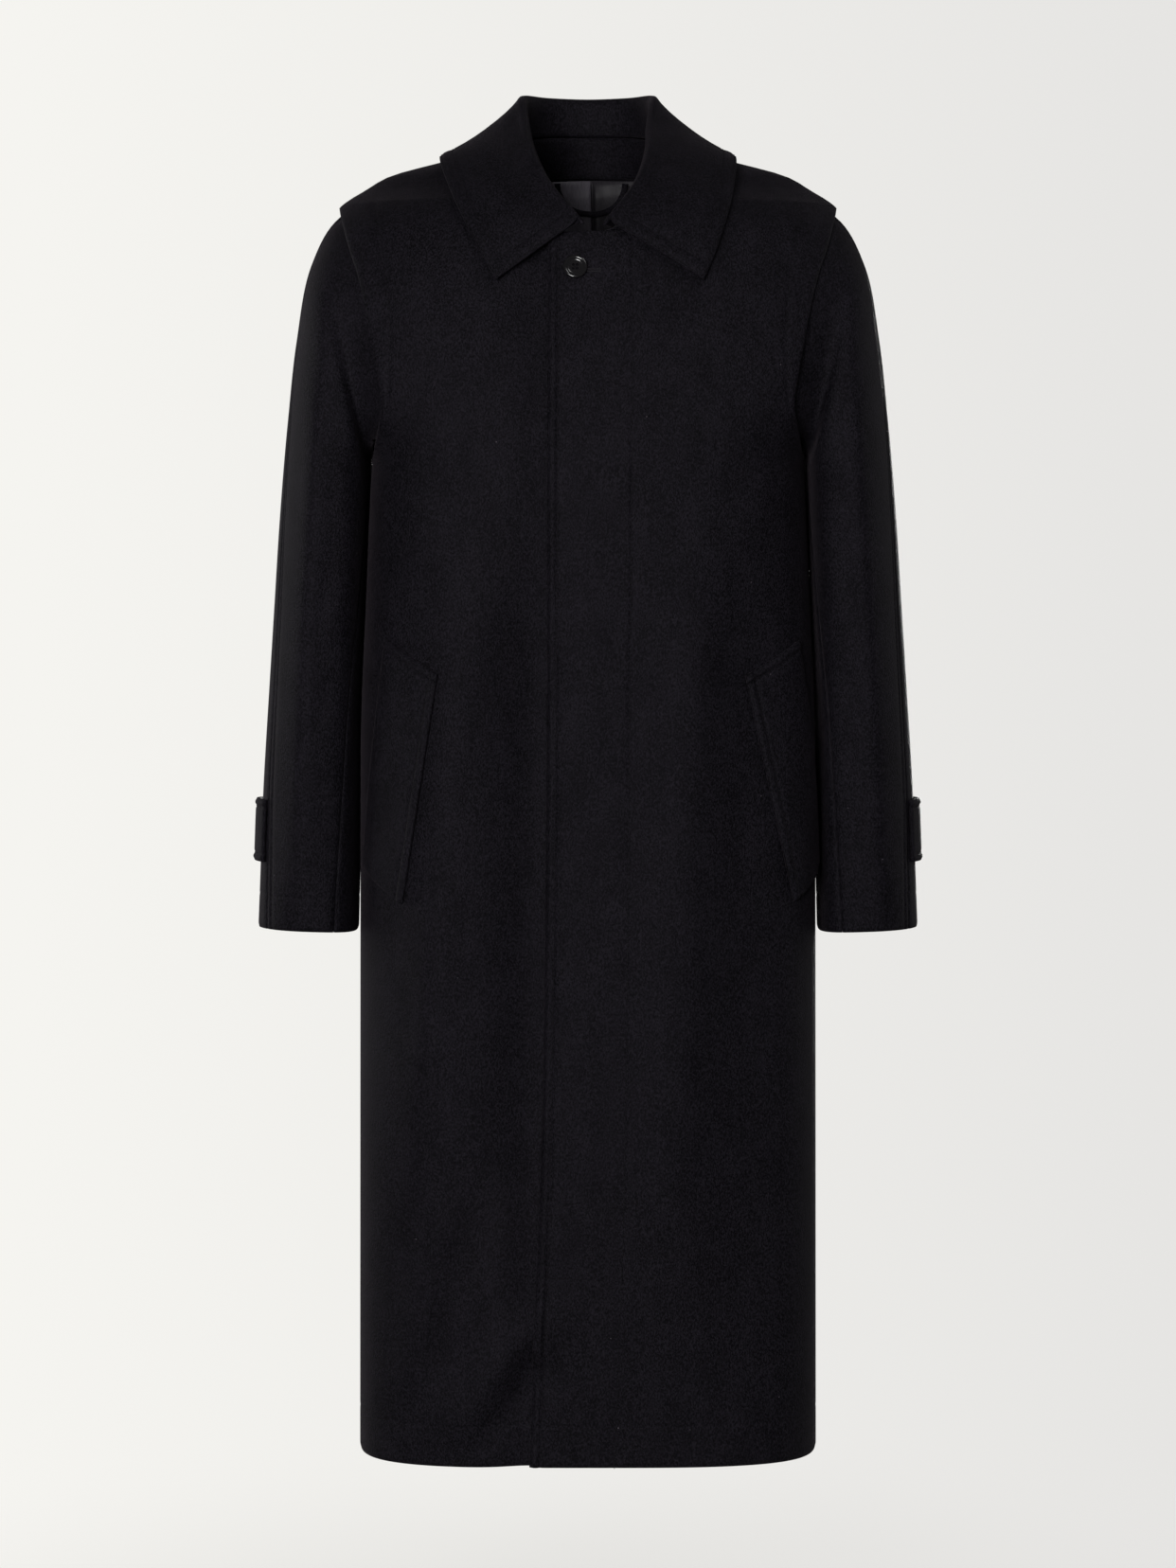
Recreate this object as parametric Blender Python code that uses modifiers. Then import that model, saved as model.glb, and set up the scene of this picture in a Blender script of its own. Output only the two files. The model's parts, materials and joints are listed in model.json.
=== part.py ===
"""Loden coat, filled out as it is worn.

Knee-length coat of felted wool: two fronts that lap over a hidden fly, a one-piece back, sleeves
in two halves set under an overhanging shoulder edge, a turn-down collar, slanted pocket welts and
sleeve tabs. The cloth is a thin wall over horizontal sections of the filled-out body.
Frame: +X is the wearer's left, the front faces -Y, +Z is up. The origin is where the shoulders
carry the coat: the middle plane, level with the top of the shoulder seams. Metres throughout.
"""
import math

import bmesh
import bpy
import numpy as np
from mathutils import Matrix, Vector

# Cloth and seams
CLOTH = 0.0022            # wall of the felted wool
COLLAR_WALL = 0.0034      # two layers of wool
WELT_WALL = 0.0030        # folded wool
TAB_WALL = 0.0030         # folded wool
SATIN = 0.0010            # lining
SEAM_GAP = 0.0005         # left between two pieces that are sewn together
LAP_GAP = 0.0006          # left between two pieces that lie on each other

# Heights
NECK_FRONT = -0.0885      # lowest visible point of the neckline
NECK_CORNER = -0.0905     # top of the lapped front edges
SHOULDER_TIP = -0.0576    # overhanging edge crosses the shoulder seam
UNDERARM = -0.291
NECK_RISE = 0.021         # nape above the shoulder neck point

# Sections of the filled-out body. Between the tip and the underarm the section runs on past the
# armhole, so that the panels reach the sleeve at the right depth.
BODY_COLUMNS = ("height", "half_width", "front", "back", "squareness")
BODY = (
    (0.0240, 0.0665, 0.030, 0.091, 2.00),
    (0.0000, 0.0760, 0.036, 0.098, 1.75),
    (-0.0146, 0.1310, 0.050, 0.101, 1.50),
    (-0.0290, 0.1830, 0.058, 0.104, 1.50),
    (-0.0410, 0.2030, 0.065, 0.107, 1.60),
    (-0.0520, 0.2200, 0.071, 0.109, 1.90),
    (-0.0576, 0.2258, 0.075, 0.110, 2.15),
    (-0.0900, 0.2450, 0.0915, 0.116, 2.75),
    (-0.1400, 0.2580, 0.104, 0.123, 3.00),
    (-0.2000, 0.2500, 0.115, 0.127, 3.00),
    (-0.2500, 0.2220, 0.121, 0.127, 3.00),
    (-0.2900, 0.1952, 0.124, 0.126, 3.00),
    (-0.3150, 0.1965, 0.1245, 0.125, 3.05),
    (-0.4200, 0.2005, 0.126, 0.122, 3.15),
    (-0.4900, 0.2036, 0.127, 0.1225, 3.25),
    (-0.5600, 0.2050, 0.128, 0.123, 3.30),
    (-0.7000, 0.2050, 0.129, 0.125, 3.40),
    (-1.1695, 0.2048, 0.130, 0.130, 3.80),
)

# Largest folds, as seen from the front (side -1) or from the front through to the back (side +1).
FOLD_COLUMNS = ("side", "top_x", "top_z", "foot_x", "foot_z", "half_width", "height")
FOLDS = (
    (-1, -0.112, -0.400, -0.148, -0.900, 0.030, 0.0065),
    (-1, -0.056, -0.400, -0.068, -0.920, 0.028, -0.0070),
    (-1, -0.042, -1.040, -0.118, -1.146, 0.022, 0.0065),
    (-1, -0.040, -1.078, -0.100, -1.152, 0.016, -0.0040),
    (-1, -0.098, -0.930, -0.134, -1.095, 0.020, -0.0045),
    (-1, 0.094, -0.420, 0.070, -0.960, 0.030, 0.0060),
    (-1, 0.150, -0.380, 0.142, -1.100, 0.042, -0.0090),
    (1, -0.070, -0.480, -0.094, -1.060, 0.034, 0.0065),
    (1, 0.060, -0.520, 0.088, -1.040, 0.034, 0.0065),
    (1, 0.000, -0.330, 0.004, -0.760, 0.045, -0.0060),
)

FOLD_FADE = 0.35          # cosine of the bearing from which the folds fade out to the side seams

# Neckline, front edges and armhole, each a line down the front
NECK_COLUMNS = ("height", "x")
NECKLINE = (
    (0.0, 0.0775), (-0.012, 0.0760), (-0.035, 0.0680), (-0.060, 0.0550), (-0.080, 0.0340), (-0.0885, 0.0120),
)
EDGE_COLUMNS = ("height", "over_edge_x", "under_edge_x")
FRONT_EDGES = (
    (-0.0905, -0.0350, 0.0370), (-0.560, -0.0370, 0.0350), (-0.860, -0.0405, 0.0315),
    (-1.1695, -0.0510, 0.0210),
)
ARMHOLE_COLUMNS = ("height", "free_edge_x")
ARMHOLE = (
    (-0.0576, 0.2258), (-0.103, 0.2122), (-0.125, 0.2045), (-0.1505, 0.1980), (-0.189, 0.1904),
    (-0.213, 0.1859), (-0.243, 0.1822), (-0.262, 0.1858), (-0.276, 0.1900), (-0.291, 0.1952),
)
HEAD_COLUMNS = ("turn", "bearing", "height")
SLEEVE_HEAD = (
    (0, 90.0, -0.0387), (15, 76.0, -0.0440), (30, 57.5, -0.0600), (60, 41.4, -0.1100), (90, 38.0, -0.1650),
    (120, 41.0, -0.2220), (140, 46.6, -0.2550), (160, 63.0, -0.2745), (180, 90.0, -0.2830),
)
SLEEVE_TUCK = 0.0052      # sleeve head lies this far inside the panel's face
SLEEVE_SEAT = 0.0025      # and comes this much nearer at the middle of the armhole, where it is sewn
FRONT_LAP_GAP = 0.0016    # left between the lapped fronts
LAP_BLEND = 0.060         # width over which the under front sinks below the over front

# Sleeve rings below the armhole: outer and inner point, depth to front and back, seam bearings
SLEEVE_COLUMNS = (
    "down", "outer_x", "outer_z", "inner_x", "inner_z", "front", "back", "outer_seam", "inner_seam",
)
SLEEVE = (
    (0.048, 0.2326, -0.0740, 0.1972, -0.2835, 0.075, 0.081, 12.0, 176.0),
    (0.087, 0.2498, -0.1080, 0.1973, -0.3000, 0.080, 0.084, 16.0, 170.0),
    (0.157, 0.2636, -0.1770, 0.1979, -0.3220, 0.080, 0.083, 21.0, 163.0),
    (0.226, 0.2713, -0.2460, 0.1990, -0.3520, 0.078, 0.081, 27.0, 157.0),
    (0.329, 0.2799, -0.3490, 0.2013, -0.4050, 0.073, 0.076, 32.0, 149.0),
    (0.399, 0.2842, -0.4180, 0.2033, -0.4500, 0.069, 0.072, 34.0, 143.0),
    (0.468, 0.2885, -0.4870, 0.2055, -0.5050, 0.066, 0.068, 35.0, 137.0),
    (0.571, 0.2946, -0.5900, 0.2065, -0.6000, 0.060, 0.062, 36.0, 129.0),
    (0.640, 0.2971, -0.6590, 0.2075, -0.6630, 0.057, 0.058, 38.0, 125.0),
    (0.689, 0.2989, -0.7078, 0.2086, -0.7112, 0.055, 0.056, 40.0, 123.0),
)
SLEEVE_SQUARENESS = 2.15
SLEEVE_INNER_SQUARENESS = 3.00      # flatter where the sleeve lies along the body

# Collar sections from the centre back to the front end. The seam is on the neckline, the roll is
# the crest of the fold and the edge lies over the body at x and height.
COLLAR_COLUMNS = (
    "along", "seam_bearing", "seam_z", "roll_x", "roll_y", "roll_z", "edge_side", "edge_x", "edge_z", "shift",
)
COLLAR = (
    (0.00, 180.0, 0.0200, 0.0000, 0.0880, 0.0570, 1, 0.0000, -0.0250, 0.000),
    (0.15, 152.0, 0.0188, 0.0365, 0.0800, 0.0570, 1, 0.0500, -0.0240, 0.000),
    (0.30, 122.0, 0.0120, 0.0585, 0.0520, 0.0545, 1, 0.0950, -0.0200, 0.000),
    (0.42, 96.0, 0.0020, 0.0615, 0.0220, 0.0460, 1, 0.1270, -0.0165, 0.000),
    (0.54, 0.0, -0.0030, 0.0583, -0.0060, 0.0220, -1, 0.1320, -0.0215, 0.000),
    (0.68, 0.0, -0.0200, 0.0538, -0.0370, -0.0050, -1, 0.1225, -0.0600, 0.004),
    (0.84, 0.0, -0.0530, 0.0405, -0.0700, -0.0400, -1, 0.1070, -0.1000, 0.008),
    (1.00, 0.0, -0.0855, 0.0138, -0.0970, -0.0770, -1, 0.0907, -0.1350, 0.0105),
)
COLLAR_FOLD = 0.0062      # half the width of the rolled fold
SEAM_LIFT = 0.0020        # foot of the collar above the neckline
SEAM_INSET = 0.0062       # and inside it
COLLAR_LIFT = 0.0085      # face of the collar edge above the panel under it
COLLAR_CLEAR = 0.0072     # least height of the collar leaf's face above the panels

# Inside the back neck
FACING_ROWS = 4           # rows of the back that the facing covers
LINING_FOOT = -0.300
LINING_HANG = 0.0025      # lining hangs this far inside the back
LINING_REACH = 0.110      # half the width of lining that shows
PLEAT_X = 0.003           # fold edge of the lining pleat
PLEAT_LAP = 0.024
PLEAT_GAP = 0.0012        # left between the lapped halves of the lining
LOOP_CENTRE_X = 0.003
LOOP_HALF_SPAN = 0.037
LOOP_SAG = 0.032
LOOP_WIDTH = 0.005
LOOP_WALL = 0.0014

# Pocket welts: upper corner of the inner long edge, its lower corner, and the run of the ends
WELT_COLUMNS = ("side", "head_x", "head_z", "foot_x", "foot_z")
WELTS = ((-1, -0.1300, -0.4796, -0.1610, -0.6807), (1, 0.1368, -0.4810, 0.1800, -0.6795))
WELT_WIDTH = 0.056
WELT_SLANT = 0.031
WELT_REACH = 1.30         # bearing at which a welt stops, clear of the sleeve
WELT_LIFT = 0.0013        # back of the welt above its front

# Sleeve tabs and buttons
TAB_TOP = 0.573           # down the sleeve
TAB_HEIGHT = 0.056
TAB_TURN = math.radians(118.0)
TAB_LIFT = 0.0034         # spring of the tab away from the sleeve
NECK_BUTTON_RADIUS = 0.01065
NECK_BUTTON_X = -0.0111
NECK_BUTTON_Z = -0.1224
TAB_BUTTON_RADIUS = 0.0090
BUTTON_HEIGHT = 0.0034
BUTTON_HOLE_RADIUS = 0.0010
BUTTON_HOLE_OFFSET = 0.0021

# Rows of the panels, from the shoulder to the hem
PANEL_ROWS = (
    -0.002, -0.009, -0.0185, -0.028, -0.0355, -0.0425, -0.050, -0.0576, -0.068, -0.079, -0.0885, -0.0905,
    -0.106, -0.124, -0.145, -0.167, -0.190, -0.215, -0.243, -0.264, -0.280, -0.287, -0.291, -0.312, -0.345,
    -0.390, -0.440, -0.500, -0.565, -0.635, -0.705, -0.780, -0.855, -0.930, -1.005, -1.075, -1.130, -1.1695,
)
INNER_COLUMNS = 7         # columns between the front edge or centre back and the knee
OUTER_COLUMNS = 6         # columns between the knee and the panel's outer edge
KNEE = 0.150              # distance of the knee from the centre line, along the cloth
SLEEVE_ROWS = (
    0.0, 0.014, 0.030, 0.048, 0.066, 0.087, 0.115, 0.157, 0.200, 0.245, 0.295, 0.345, 0.399, 0.455, 0.515,
    0.571, 0.630, 0.689,
)

for item in list(bpy.data.objects):
    bpy.data.objects.remove(item, do_unlink=True)
COAT = bpy.data.collections.new("loden_coat")
bpy.context.scene.collection.children.link(COAT)


def principled(name, colour, roughness):
    """A plain material for one kind of stuff."""
    material = bpy.data.materials.new(name)
    material.use_nodes = True
    shader = material.node_tree.nodes["Principled BSDF"]
    shader.inputs["Base Color"].default_value = (*colour, 1.0)
    shader.inputs["Roughness"].default_value = roughness
    return material


LODEN = principled("felted loden wool", (0.0090, 0.0080, 0.0110), 0.92)
LINING = principled("lining satin", (0.0170, 0.0155, 0.0175), 0.42)
HORN = principled("polished black button", (0.0060, 0.0055, 0.0065), 0.22)


def columns(table, names, *wanted):
    """The wanted columns of a table, as arrays from the lowest station to the highest."""
    rows = sorted(table)
    return [np.array([row[names.index(name)] for row in rows], float) for name in wanted]


def through(stations, values, loose=False):
    """A smooth curve through the stations. A loose one rounds its turns, the other never overshoots."""
    x = np.asarray(stations, float)
    y = np.asarray(values, float)
    step = np.diff(x).reshape((-1,) + (1,) * (y.ndim - 1))
    slope = np.diff(y, axis=0) / step
    tangent = np.zeros_like(y)
    tangent[0] = slope[0]
    tangent[-1] = slope[-1]
    if loose:
        tangent[1:-1] = (slope[:-1] * step[1:] + slope[1:] * step[:-1]) / (step[1:] + step[:-1])
    else:
        both = slope[:-1] * slope[1:]
        total = np.where(np.abs(slope[:-1] + slope[1:]) < 1e-12, 1.0, slope[:-1] + slope[1:])
        tangent[1:-1] = np.where(both > 0, 2 * both / total, 0.0)

    def at(q):
        q = np.asarray(q, float)
        i = np.clip(np.searchsorted(x, q, side="right") - 1, 0, len(x) - 2)
        width = (x[i + 1] - x[i]).reshape(q.shape + (1,) * (y.ndim - 1))
        t = (q - x[i]).reshape(width.shape) / width
        start = y[i] * (1 + 2 * t) * (1 - t) ** 2 + width * tangent[i] * t * (1 - t) ** 2
        end = y[i + 1] * t * t * (3 - 2 * t) + width * tangent[i + 1] * t * t * (t - 1)
        return start + end

    return at


def smoothstep(t):
    t = np.clip(t, 0.0, 1.0)
    return t * t * (3 - 2 * t)


body_z, body_a, body_f, body_b, body_n = columns(BODY, BODY_COLUMNS, *BODY_COLUMNS)
half_width = through(body_z, body_a)
front_depth = through(body_z, body_f)
back_depth = through(body_z, body_b)
squareness = through(body_z, body_n)
neck_x = through(*columns(NECKLINE, NECK_COLUMNS, "height", "x"))
over_edge_x = through(*columns(FRONT_EDGES, EDGE_COLUMNS, "height", "over_edge_x"))
under_edge_x = through(*columns(FRONT_EDGES, EDGE_COLUMNS, "height", "under_edge_x"))
armhole_x = through(*columns(ARMHOLE, ARMHOLE_COLUMNS, "height", "free_edge_x"))
head_bearing = through(*columns(SLEEVE_HEAD, HEAD_COLUMNS, "turn", "bearing"))
head_height = through(*columns(SLEEVE_HEAD, HEAD_COLUMNS, "turn", "height"))


def fold_rise(x, z, side):
    """How far the folds of one side lift the cloth at x and z."""
    rise = np.zeros(np.broadcast(x, z).shape)
    for face, top_x, top_z, foot_x, foot_z, half, height in FOLDS:
        if face != side:
            continue
        run = np.array([foot_x - top_x, foot_z - top_z])
        length = np.hypot(*run)
        run = run / length
        along = (x - top_x) * run[0] + (z - top_z) * run[1]
        across = (x - top_x) * run[1] - (z - top_z) * run[0]
        ramp = 0.35 * length
        fade = smoothstep(along / ramp + 0.5) * smoothstep((length - along) / ramp + 0.5)
        rise = rise + height * np.exp(-((across / half) ** 2)) * fade
    return rise


def body(bearing, z):
    """Face of the cloth at a bearing from the centre front, round by the wearer's left, and a height."""
    bearing, z = np.broadcast_arrays(np.asarray(bearing, float), np.asarray(z, float))
    n = squareness(z)
    sine, cosine = np.sin(bearing), np.cos(bearing)
    scale = (np.abs(sine) ** n + np.abs(cosine) ** n) ** (-1 / n)
    x = half_width(z) * scale * sine
    shown = smoothstep(np.abs(cosine) / FOLD_FADE)
    front = -front_depth(z) * scale * cosine - shown * fold_rise(x, z, -1)
    back = -back_depth(z) * scale * cosine + shown * fold_rise(x, z, 1)
    return np.stack([x, np.where(cosine > 0, front, back), z], -1)


def normals(surface, u, v, du, dv):
    """Outward directions of a surface, by its slopes along u and v."""
    across = surface(u + du, v) - surface(u - du, v)
    along = surface(u, v + dv) - surface(u, v - dv)
    out = np.cross(across, along)
    return out / np.linalg.norm(out, axis=-1, keepdims=True)


def on_body(bearing, z, out=0.0):
    """Points of the body moved out of its face."""
    bearing, z = np.broadcast_arrays(np.asarray(bearing, float), np.asarray(z, float))
    out = np.broadcast_to(np.asarray(out, float), bearing.shape)
    return body(bearing, z) + out[..., None] * normals(body, bearing, z, 0.03, 0.002)


def bearing_at(x, z):
    """Bearing of the front's point at x. The back's is pi less this."""
    share = np.clip(np.abs(x) / half_width(z), 0.0, 1.0)
    n = squareness(z)
    return np.sign(x) * np.arctan2(share, (1 - share ** n) ** (1 / n))


def panel_edge(z, depth):
    """Bearing at which a panel ends: shoulder seam, overhanging armhole edge or side seam."""
    seam = math.pi / 2 - 0.5 * SEAM_GAP / depth(z)
    free = bearing_at(armhole_x(z), z)
    inside = (z < SHOULDER_TIP) & (z > UNDERARM)
    return np.where(inside, np.minimum(free, seam), seam)


def add_object(name, mesh, material):
    item = bpy.data.objects.new(name, mesh)
    mesh.materials.append(material)
    COAT.objects.link(item)
    return item


def wall(name, face, back, material):
    """A closed wall lofted between the rows of its face and the rows of its back."""
    rows, cols = face.shape[:2]
    net = bmesh.new()
    near = [[net.verts.new(point) for point in row] for row in face.tolist()]
    far = [[net.verts.new(point) for point in row] for row in back.tolist()]
    for j in range(rows - 1):
        for i in range(cols - 1):
            net.faces.new((near[j][i], near[j][i + 1], near[j + 1][i + 1], near[j + 1][i]))
            net.faces.new((far[j][i], far[j + 1][i], far[j + 1][i + 1], far[j][i + 1]))
    rim = [(0, i) for i in range(cols)] + [(j, cols - 1) for j in range(1, rows)]
    rim += [(rows - 1, i) for i in range(cols - 2, -1, -1)] + [(j, 0) for j in range(rows - 2, 0, -1)]
    for (j, i), (q, p) in zip(rim, rim[1:] + rim[:1]):
        net.faces.new((near[j][i], far[j][i], far[q][p], near[q][p]))
    if net.calc_volume(signed=True) < 0:
        bmesh.ops.reverse_faces(net, faces=net.faces[:])
    mesh = bpy.data.meshes.new(name)
    net.to_mesh(mesh)
    net.free()
    return add_object(name, mesh, material)


def under_sink(x, z):
    """How far the under front lies below the face, to pass under the over front."""
    return (CLOTH + FRONT_LAP_GAP) * smoothstep((x - over_edge_x(z) + LAP_BLEND) / (LAP_BLEND - 0.004))


def row_bearings(z, side, back, start, end, inner, outer):
    """Bearings of one row of a panel. Up to the knee its columns hang straight, past it they close up."""
    turn = np.linspace(-math.pi / 2, math.pi / 2, 721)
    points = body(math.pi - side * turn if back else side * turn, z)
    steps = np.linalg.norm(np.diff(points, axis=0), axis=1)
    length = np.concatenate([[0.0], np.cumsum(steps)])
    length = length - length[360]
    first, last = np.interp([start, end], turn, length)
    knee = min(max(KNEE, first + 0.6 * (last - first)), first + 0.75 * (last - first))
    lengths = np.concatenate([np.linspace(first, knee, inner), np.linspace(knee, last, outer + 1)[1:]])
    return np.interp(lengths, length, turn)


def front_piece(name, side):
    """One front: from the neckline and its lapped edge to the shoulder, armhole and side."""
    z = np.array(PANEL_ROWS)
    lapped = over_edge_x(z) if side > 0 else -under_edge_x(z)
    start_x = np.where(z > NECK_CORNER + 1e-6, neck_x(np.maximum(z, NECK_FRONT)), lapped)
    start = bearing_at(start_x, z)
    end = panel_edge(z, front_depth)
    turns = []
    for height, begin, stop in zip(z, start, end):
        turns.append(row_bearings(height, side, False, begin, stop, INNER_COLUMNS, OUTER_COLUMNS))
    bearing = side * np.array(turns)
    rows = np.broadcast_to(z[:, None], bearing.shape)
    sink = np.zeros(bearing.shape)
    if side < 0:
        sink = under_sink(body(bearing, rows)[..., 0], rows)
    return wall(name, on_body(bearing, rows, -sink), on_body(bearing, rows, -sink - CLOTH), LODEN)


def back_rows(heights):
    """Bearings and heights across the back; the uppermost rows rise to the nape."""
    z = np.asarray(heights, float)
    end = panel_edge(z, back_depth)
    halves = []
    for height, stop in zip(z, end):
        halves.append(row_bearings(height, 1, True, 0.0, stop, INNER_COLUMNS - 2, OUTER_COLUMNS))
    halves = np.array(halves)
    turn = np.concatenate([-halves[:, :0:-1], halves], axis=1)
    share = turn / halves[:, -1:]
    lift = NECK_RISE * (1 - np.abs(share) ** 2.5)
    rise = np.clip((z + 0.060) / 0.058, 0.0, 1.0)
    return math.pi - turn, z[:, None] + rise[:, None] * lift


def sleeve_head(turn):
    """Loop on which the sleeve is set in, tucked under the panels."""
    degrees = np.degrees(np.abs(np.arctan2(np.sin(turn), np.cos(turn))))
    bearing = np.radians(head_bearing(degrees))
    bearing = np.where(np.sin(turn) >= 0, bearing, math.pi - bearing)
    z = head_height(degrees)
    return on_body(bearing, z, -SLEEVE_TUCK + SLEEVE_SEAT * np.sin(turn) ** 4)


sleeve_down, = columns(SLEEVE, SLEEVE_COLUMNS, "down")
outer_seam = through(*columns(SLEEVE, SLEEVE_COLUMNS, "down", "outer_seam"))
inner_seam = through(*columns(SLEEVE, SLEEVE_COLUMNS, "down", "inner_seam"))


def sleeve(turn, down):
    """Face of the left sleeve: turn from its outer line round by the front, length down that line."""
    turn, down = np.broadcast_arrays(np.asarray(turn, float), np.asarray(down, float))
    sine, cosine = np.sin(turn), np.cos(turn)
    n = np.where(cosine < 0, SLEEVE_INNER_SQUARENESS, SLEEVE_SQUARENESS)
    scale = (np.abs(sine) ** n + np.abs(cosine) ** n) ** (-1 / n)
    rings = [sleeve_head(turn)]
    for _, outer_x, outer_z, inner_x, inner_z, front, back, _, _ in SLEEVE:
        x = (outer_x + inner_x) / 2 + (outer_x - inner_x) / 2 * scale * cosine
        z = (outer_z + inner_z) / 2 + (outer_z - inner_z) / 2 * scale * cosine
        y = -np.where(sine > 0, front, back) * scale * sine
        rings.append(np.stack([x, y, z], -1))
    rings = np.array(rings)
    stations = np.concatenate([[0.0], sleeve_down])
    flat = rings.reshape(len(rings), -1, 3)
    lengths = down.reshape(-1)
    points = [through(stations, flat[:, k], loose=True)(lengths[k]) for k in range(len(lengths))]
    return np.array(points).reshape(turn.shape + (3,))


def on_sleeve(turn, down, out=0.0):
    """Points of the left sleeve moved out of its face."""
    turn, down = np.broadcast_arrays(np.asarray(turn, float), np.asarray(down, float))
    out = np.broadcast_to(np.asarray(out, float), turn.shape)
    return sleeve(turn, down) + out[..., None] * normals(sleeve, turn, down, 0.03, 0.002)


def mirrored(points, side):
    return points * np.array([side, 1.0, 1.0])


def sleeve_piece(name, side, half):
    """One half of a sleeve, between its outer and its inner seam."""
    down = np.array(SLEEVE_ROWS)
    first = np.radians(outer_seam(np.maximum(down, sleeve_down[0])))
    last = np.radians(inner_seam(np.maximum(down, sleeve_down[0])))
    count = 9
    if half == "back":
        first, last = last, first + 2 * math.pi
        count = 14
    gap = 0.5 * SEAM_GAP / 0.055
    first, last = first + gap, last - gap
    turn = first[:, None] + (last - first)[:, None] * np.linspace(0.0, 1.0, count)
    rows = np.broadcast_to(down[:, None], turn.shape)
    face = mirrored(on_sleeve(turn, rows), side)
    return wall(name, face, mirrored(on_sleeve(turn, rows, -CLOTH), side), LODEN)


def clear_of_body(point, clearance):
    """The point, pushed off the body's face where it is nearer than the clearance."""
    bearing, z = np.meshgrid(np.linspace(-math.pi, math.pi, 361), np.linspace(-0.16, 0.02, 181))
    face = body(bearing, z)
    nearest = np.unravel_index(np.argmin(np.linalg.norm(face - point, axis=-1)), bearing.shape)
    out = normals(body, bearing[nearest], z[nearest], 0.03, 0.002)
    height = float(np.dot(point - face[nearest], out))
    return point + max(0.0, clearance - height) * out


def collar_sections():
    """Control points of the collar from its right front end round the back to its left one."""
    sections, stations = [], []
    for side in (-1, 1):
        for along, seam_bearing, seam_z, roll_x, roll_y, roll_z, face, edge_x, edge_z, shift in COLLAR:
            if side > 0 and along == 0.0:
                continue
            bearing = math.radians(seam_bearing)
            if seam_bearing == 0.0:
                bearing = float(bearing_at(neck_x(seam_z), seam_z))
            seam = body(side * bearing, seam_z)
            inward = -seam * np.array([1.0, 1.0, 0.0])
            inward = inward / np.linalg.norm(inward)
            seam = seam + SEAM_INSET * inward + np.array([0.0, 0.0, SEAM_LIFT])
            edge_bearing = float(bearing_at(edge_x, edge_z))
            edge_bearing = edge_bearing if face < 0 else math.pi - edge_bearing
            edge = on_body(side * edge_bearing, edge_z, COLLAR_LIFT)
            edge = edge + np.array([shift, 0.0, 0.0])
            roll = np.array([side * roll_x + 0.5 * shift, roll_y, roll_z])
            away = edge - roll
            away[2] = 0.0
            away = away / np.linalg.norm(away)
            drop = np.array([0.0, 0.0, -COLLAR_FOLD])
            inner = roll - COLLAR_FOLD * away + drop
            outer = roll + COLLAR_FOLD * away + drop
            upper = clear_of_body(outer + (edge - outer) / 3, COLLAR_CLEAR)
            lower = clear_of_body(outer + (edge - outer) * 2 / 3, COLLAR_CLEAR)
            sections.append([seam, 0.5 * (seam + inner), inner, roll, outer, upper, lower, edge])
            stations.append(side * along)
    order = np.argsort(stations)
    return np.array(stations)[order], np.array(sections)[order]


collar_along, collar_points = collar_sections()
COLLAR_ACROSS = np.array([0.0, 0.14, 0.26, 0.36, 0.46, 0.64, 0.82, 1.0])


def collar(along, across):
    """Seen face of the collar: along from its right end to its left, across from seam to edge."""
    along, across = np.broadcast_arrays(np.asarray(along, float), np.asarray(across, float))
    lines = through(collar_along, collar_points, loose=True)(along.reshape(-1))
    shares = across.reshape(-1)
    points = [through(COLLAR_ACROSS, lines[k], loose=True)(shares[k]) for k in range(len(shares))]
    return np.array(points).reshape(along.shape + (3,))


def collar_piece():
    along = np.linspace(-1.0, 1.0, 29)[None, :]
    across = np.array([0.0, 0.10, 0.19, 0.26, 0.31, 0.36, 0.41, 0.46, 0.55, 0.67, 0.83, 1.0])[:, None]
    along, across = np.broadcast_arrays(along, across)
    face = collar(along, across)
    out = normals(collar, along, across, 0.004, 0.004)
    return wall("collar", face, face - COLLAR_WALL * out, LODEN)


def facing_piece(name, depth):
    """The facing inside the back neck, on the back's own lines."""
    bearing, z = back_rows(PANEL_ROWS[:FACING_ROWS])
    bearing, z = bearing[:, 2:-2], z[:, 2:-2]
    return wall(name, on_body(bearing, z, -depth), on_body(bearing, z, -depth - CLOTH), LODEN)


def back_at(x, z, out):
    """Point of the back at x and z, moved out of its face."""
    bearing = math.pi - bearing_at(x, z)
    return on_body(bearing, z, out)


def facing_foot(x):
    """Height of the facing's lower edge at x."""
    bearing, z = back_rows(PANEL_ROWS[FACING_ROWS - 1:FACING_ROWS])
    edge = body(bearing, z)[0]
    order = np.argsort(edge[:, 0])
    return np.interp(x, edge[order, 0], edge[order, 2])


def lining_piece(name, start, end, depth):
    """One half of the back lining between two x, hung below the facing."""
    x = np.linspace(start, end, 10)
    top = facing_foot(x) - LAP_GAP
    share = np.array([0.0, 0.03, 0.07, 0.12, 0.20, 0.32, 0.48, 0.65, 0.82, 1.0])[:, None]
    z = top + (LINING_FOOT - top) * share
    x = np.broadcast_to(x, z.shape)
    return wall(name, back_at(x, z, -depth), back_at(x, z, -depth - SATIN), LINING)


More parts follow.
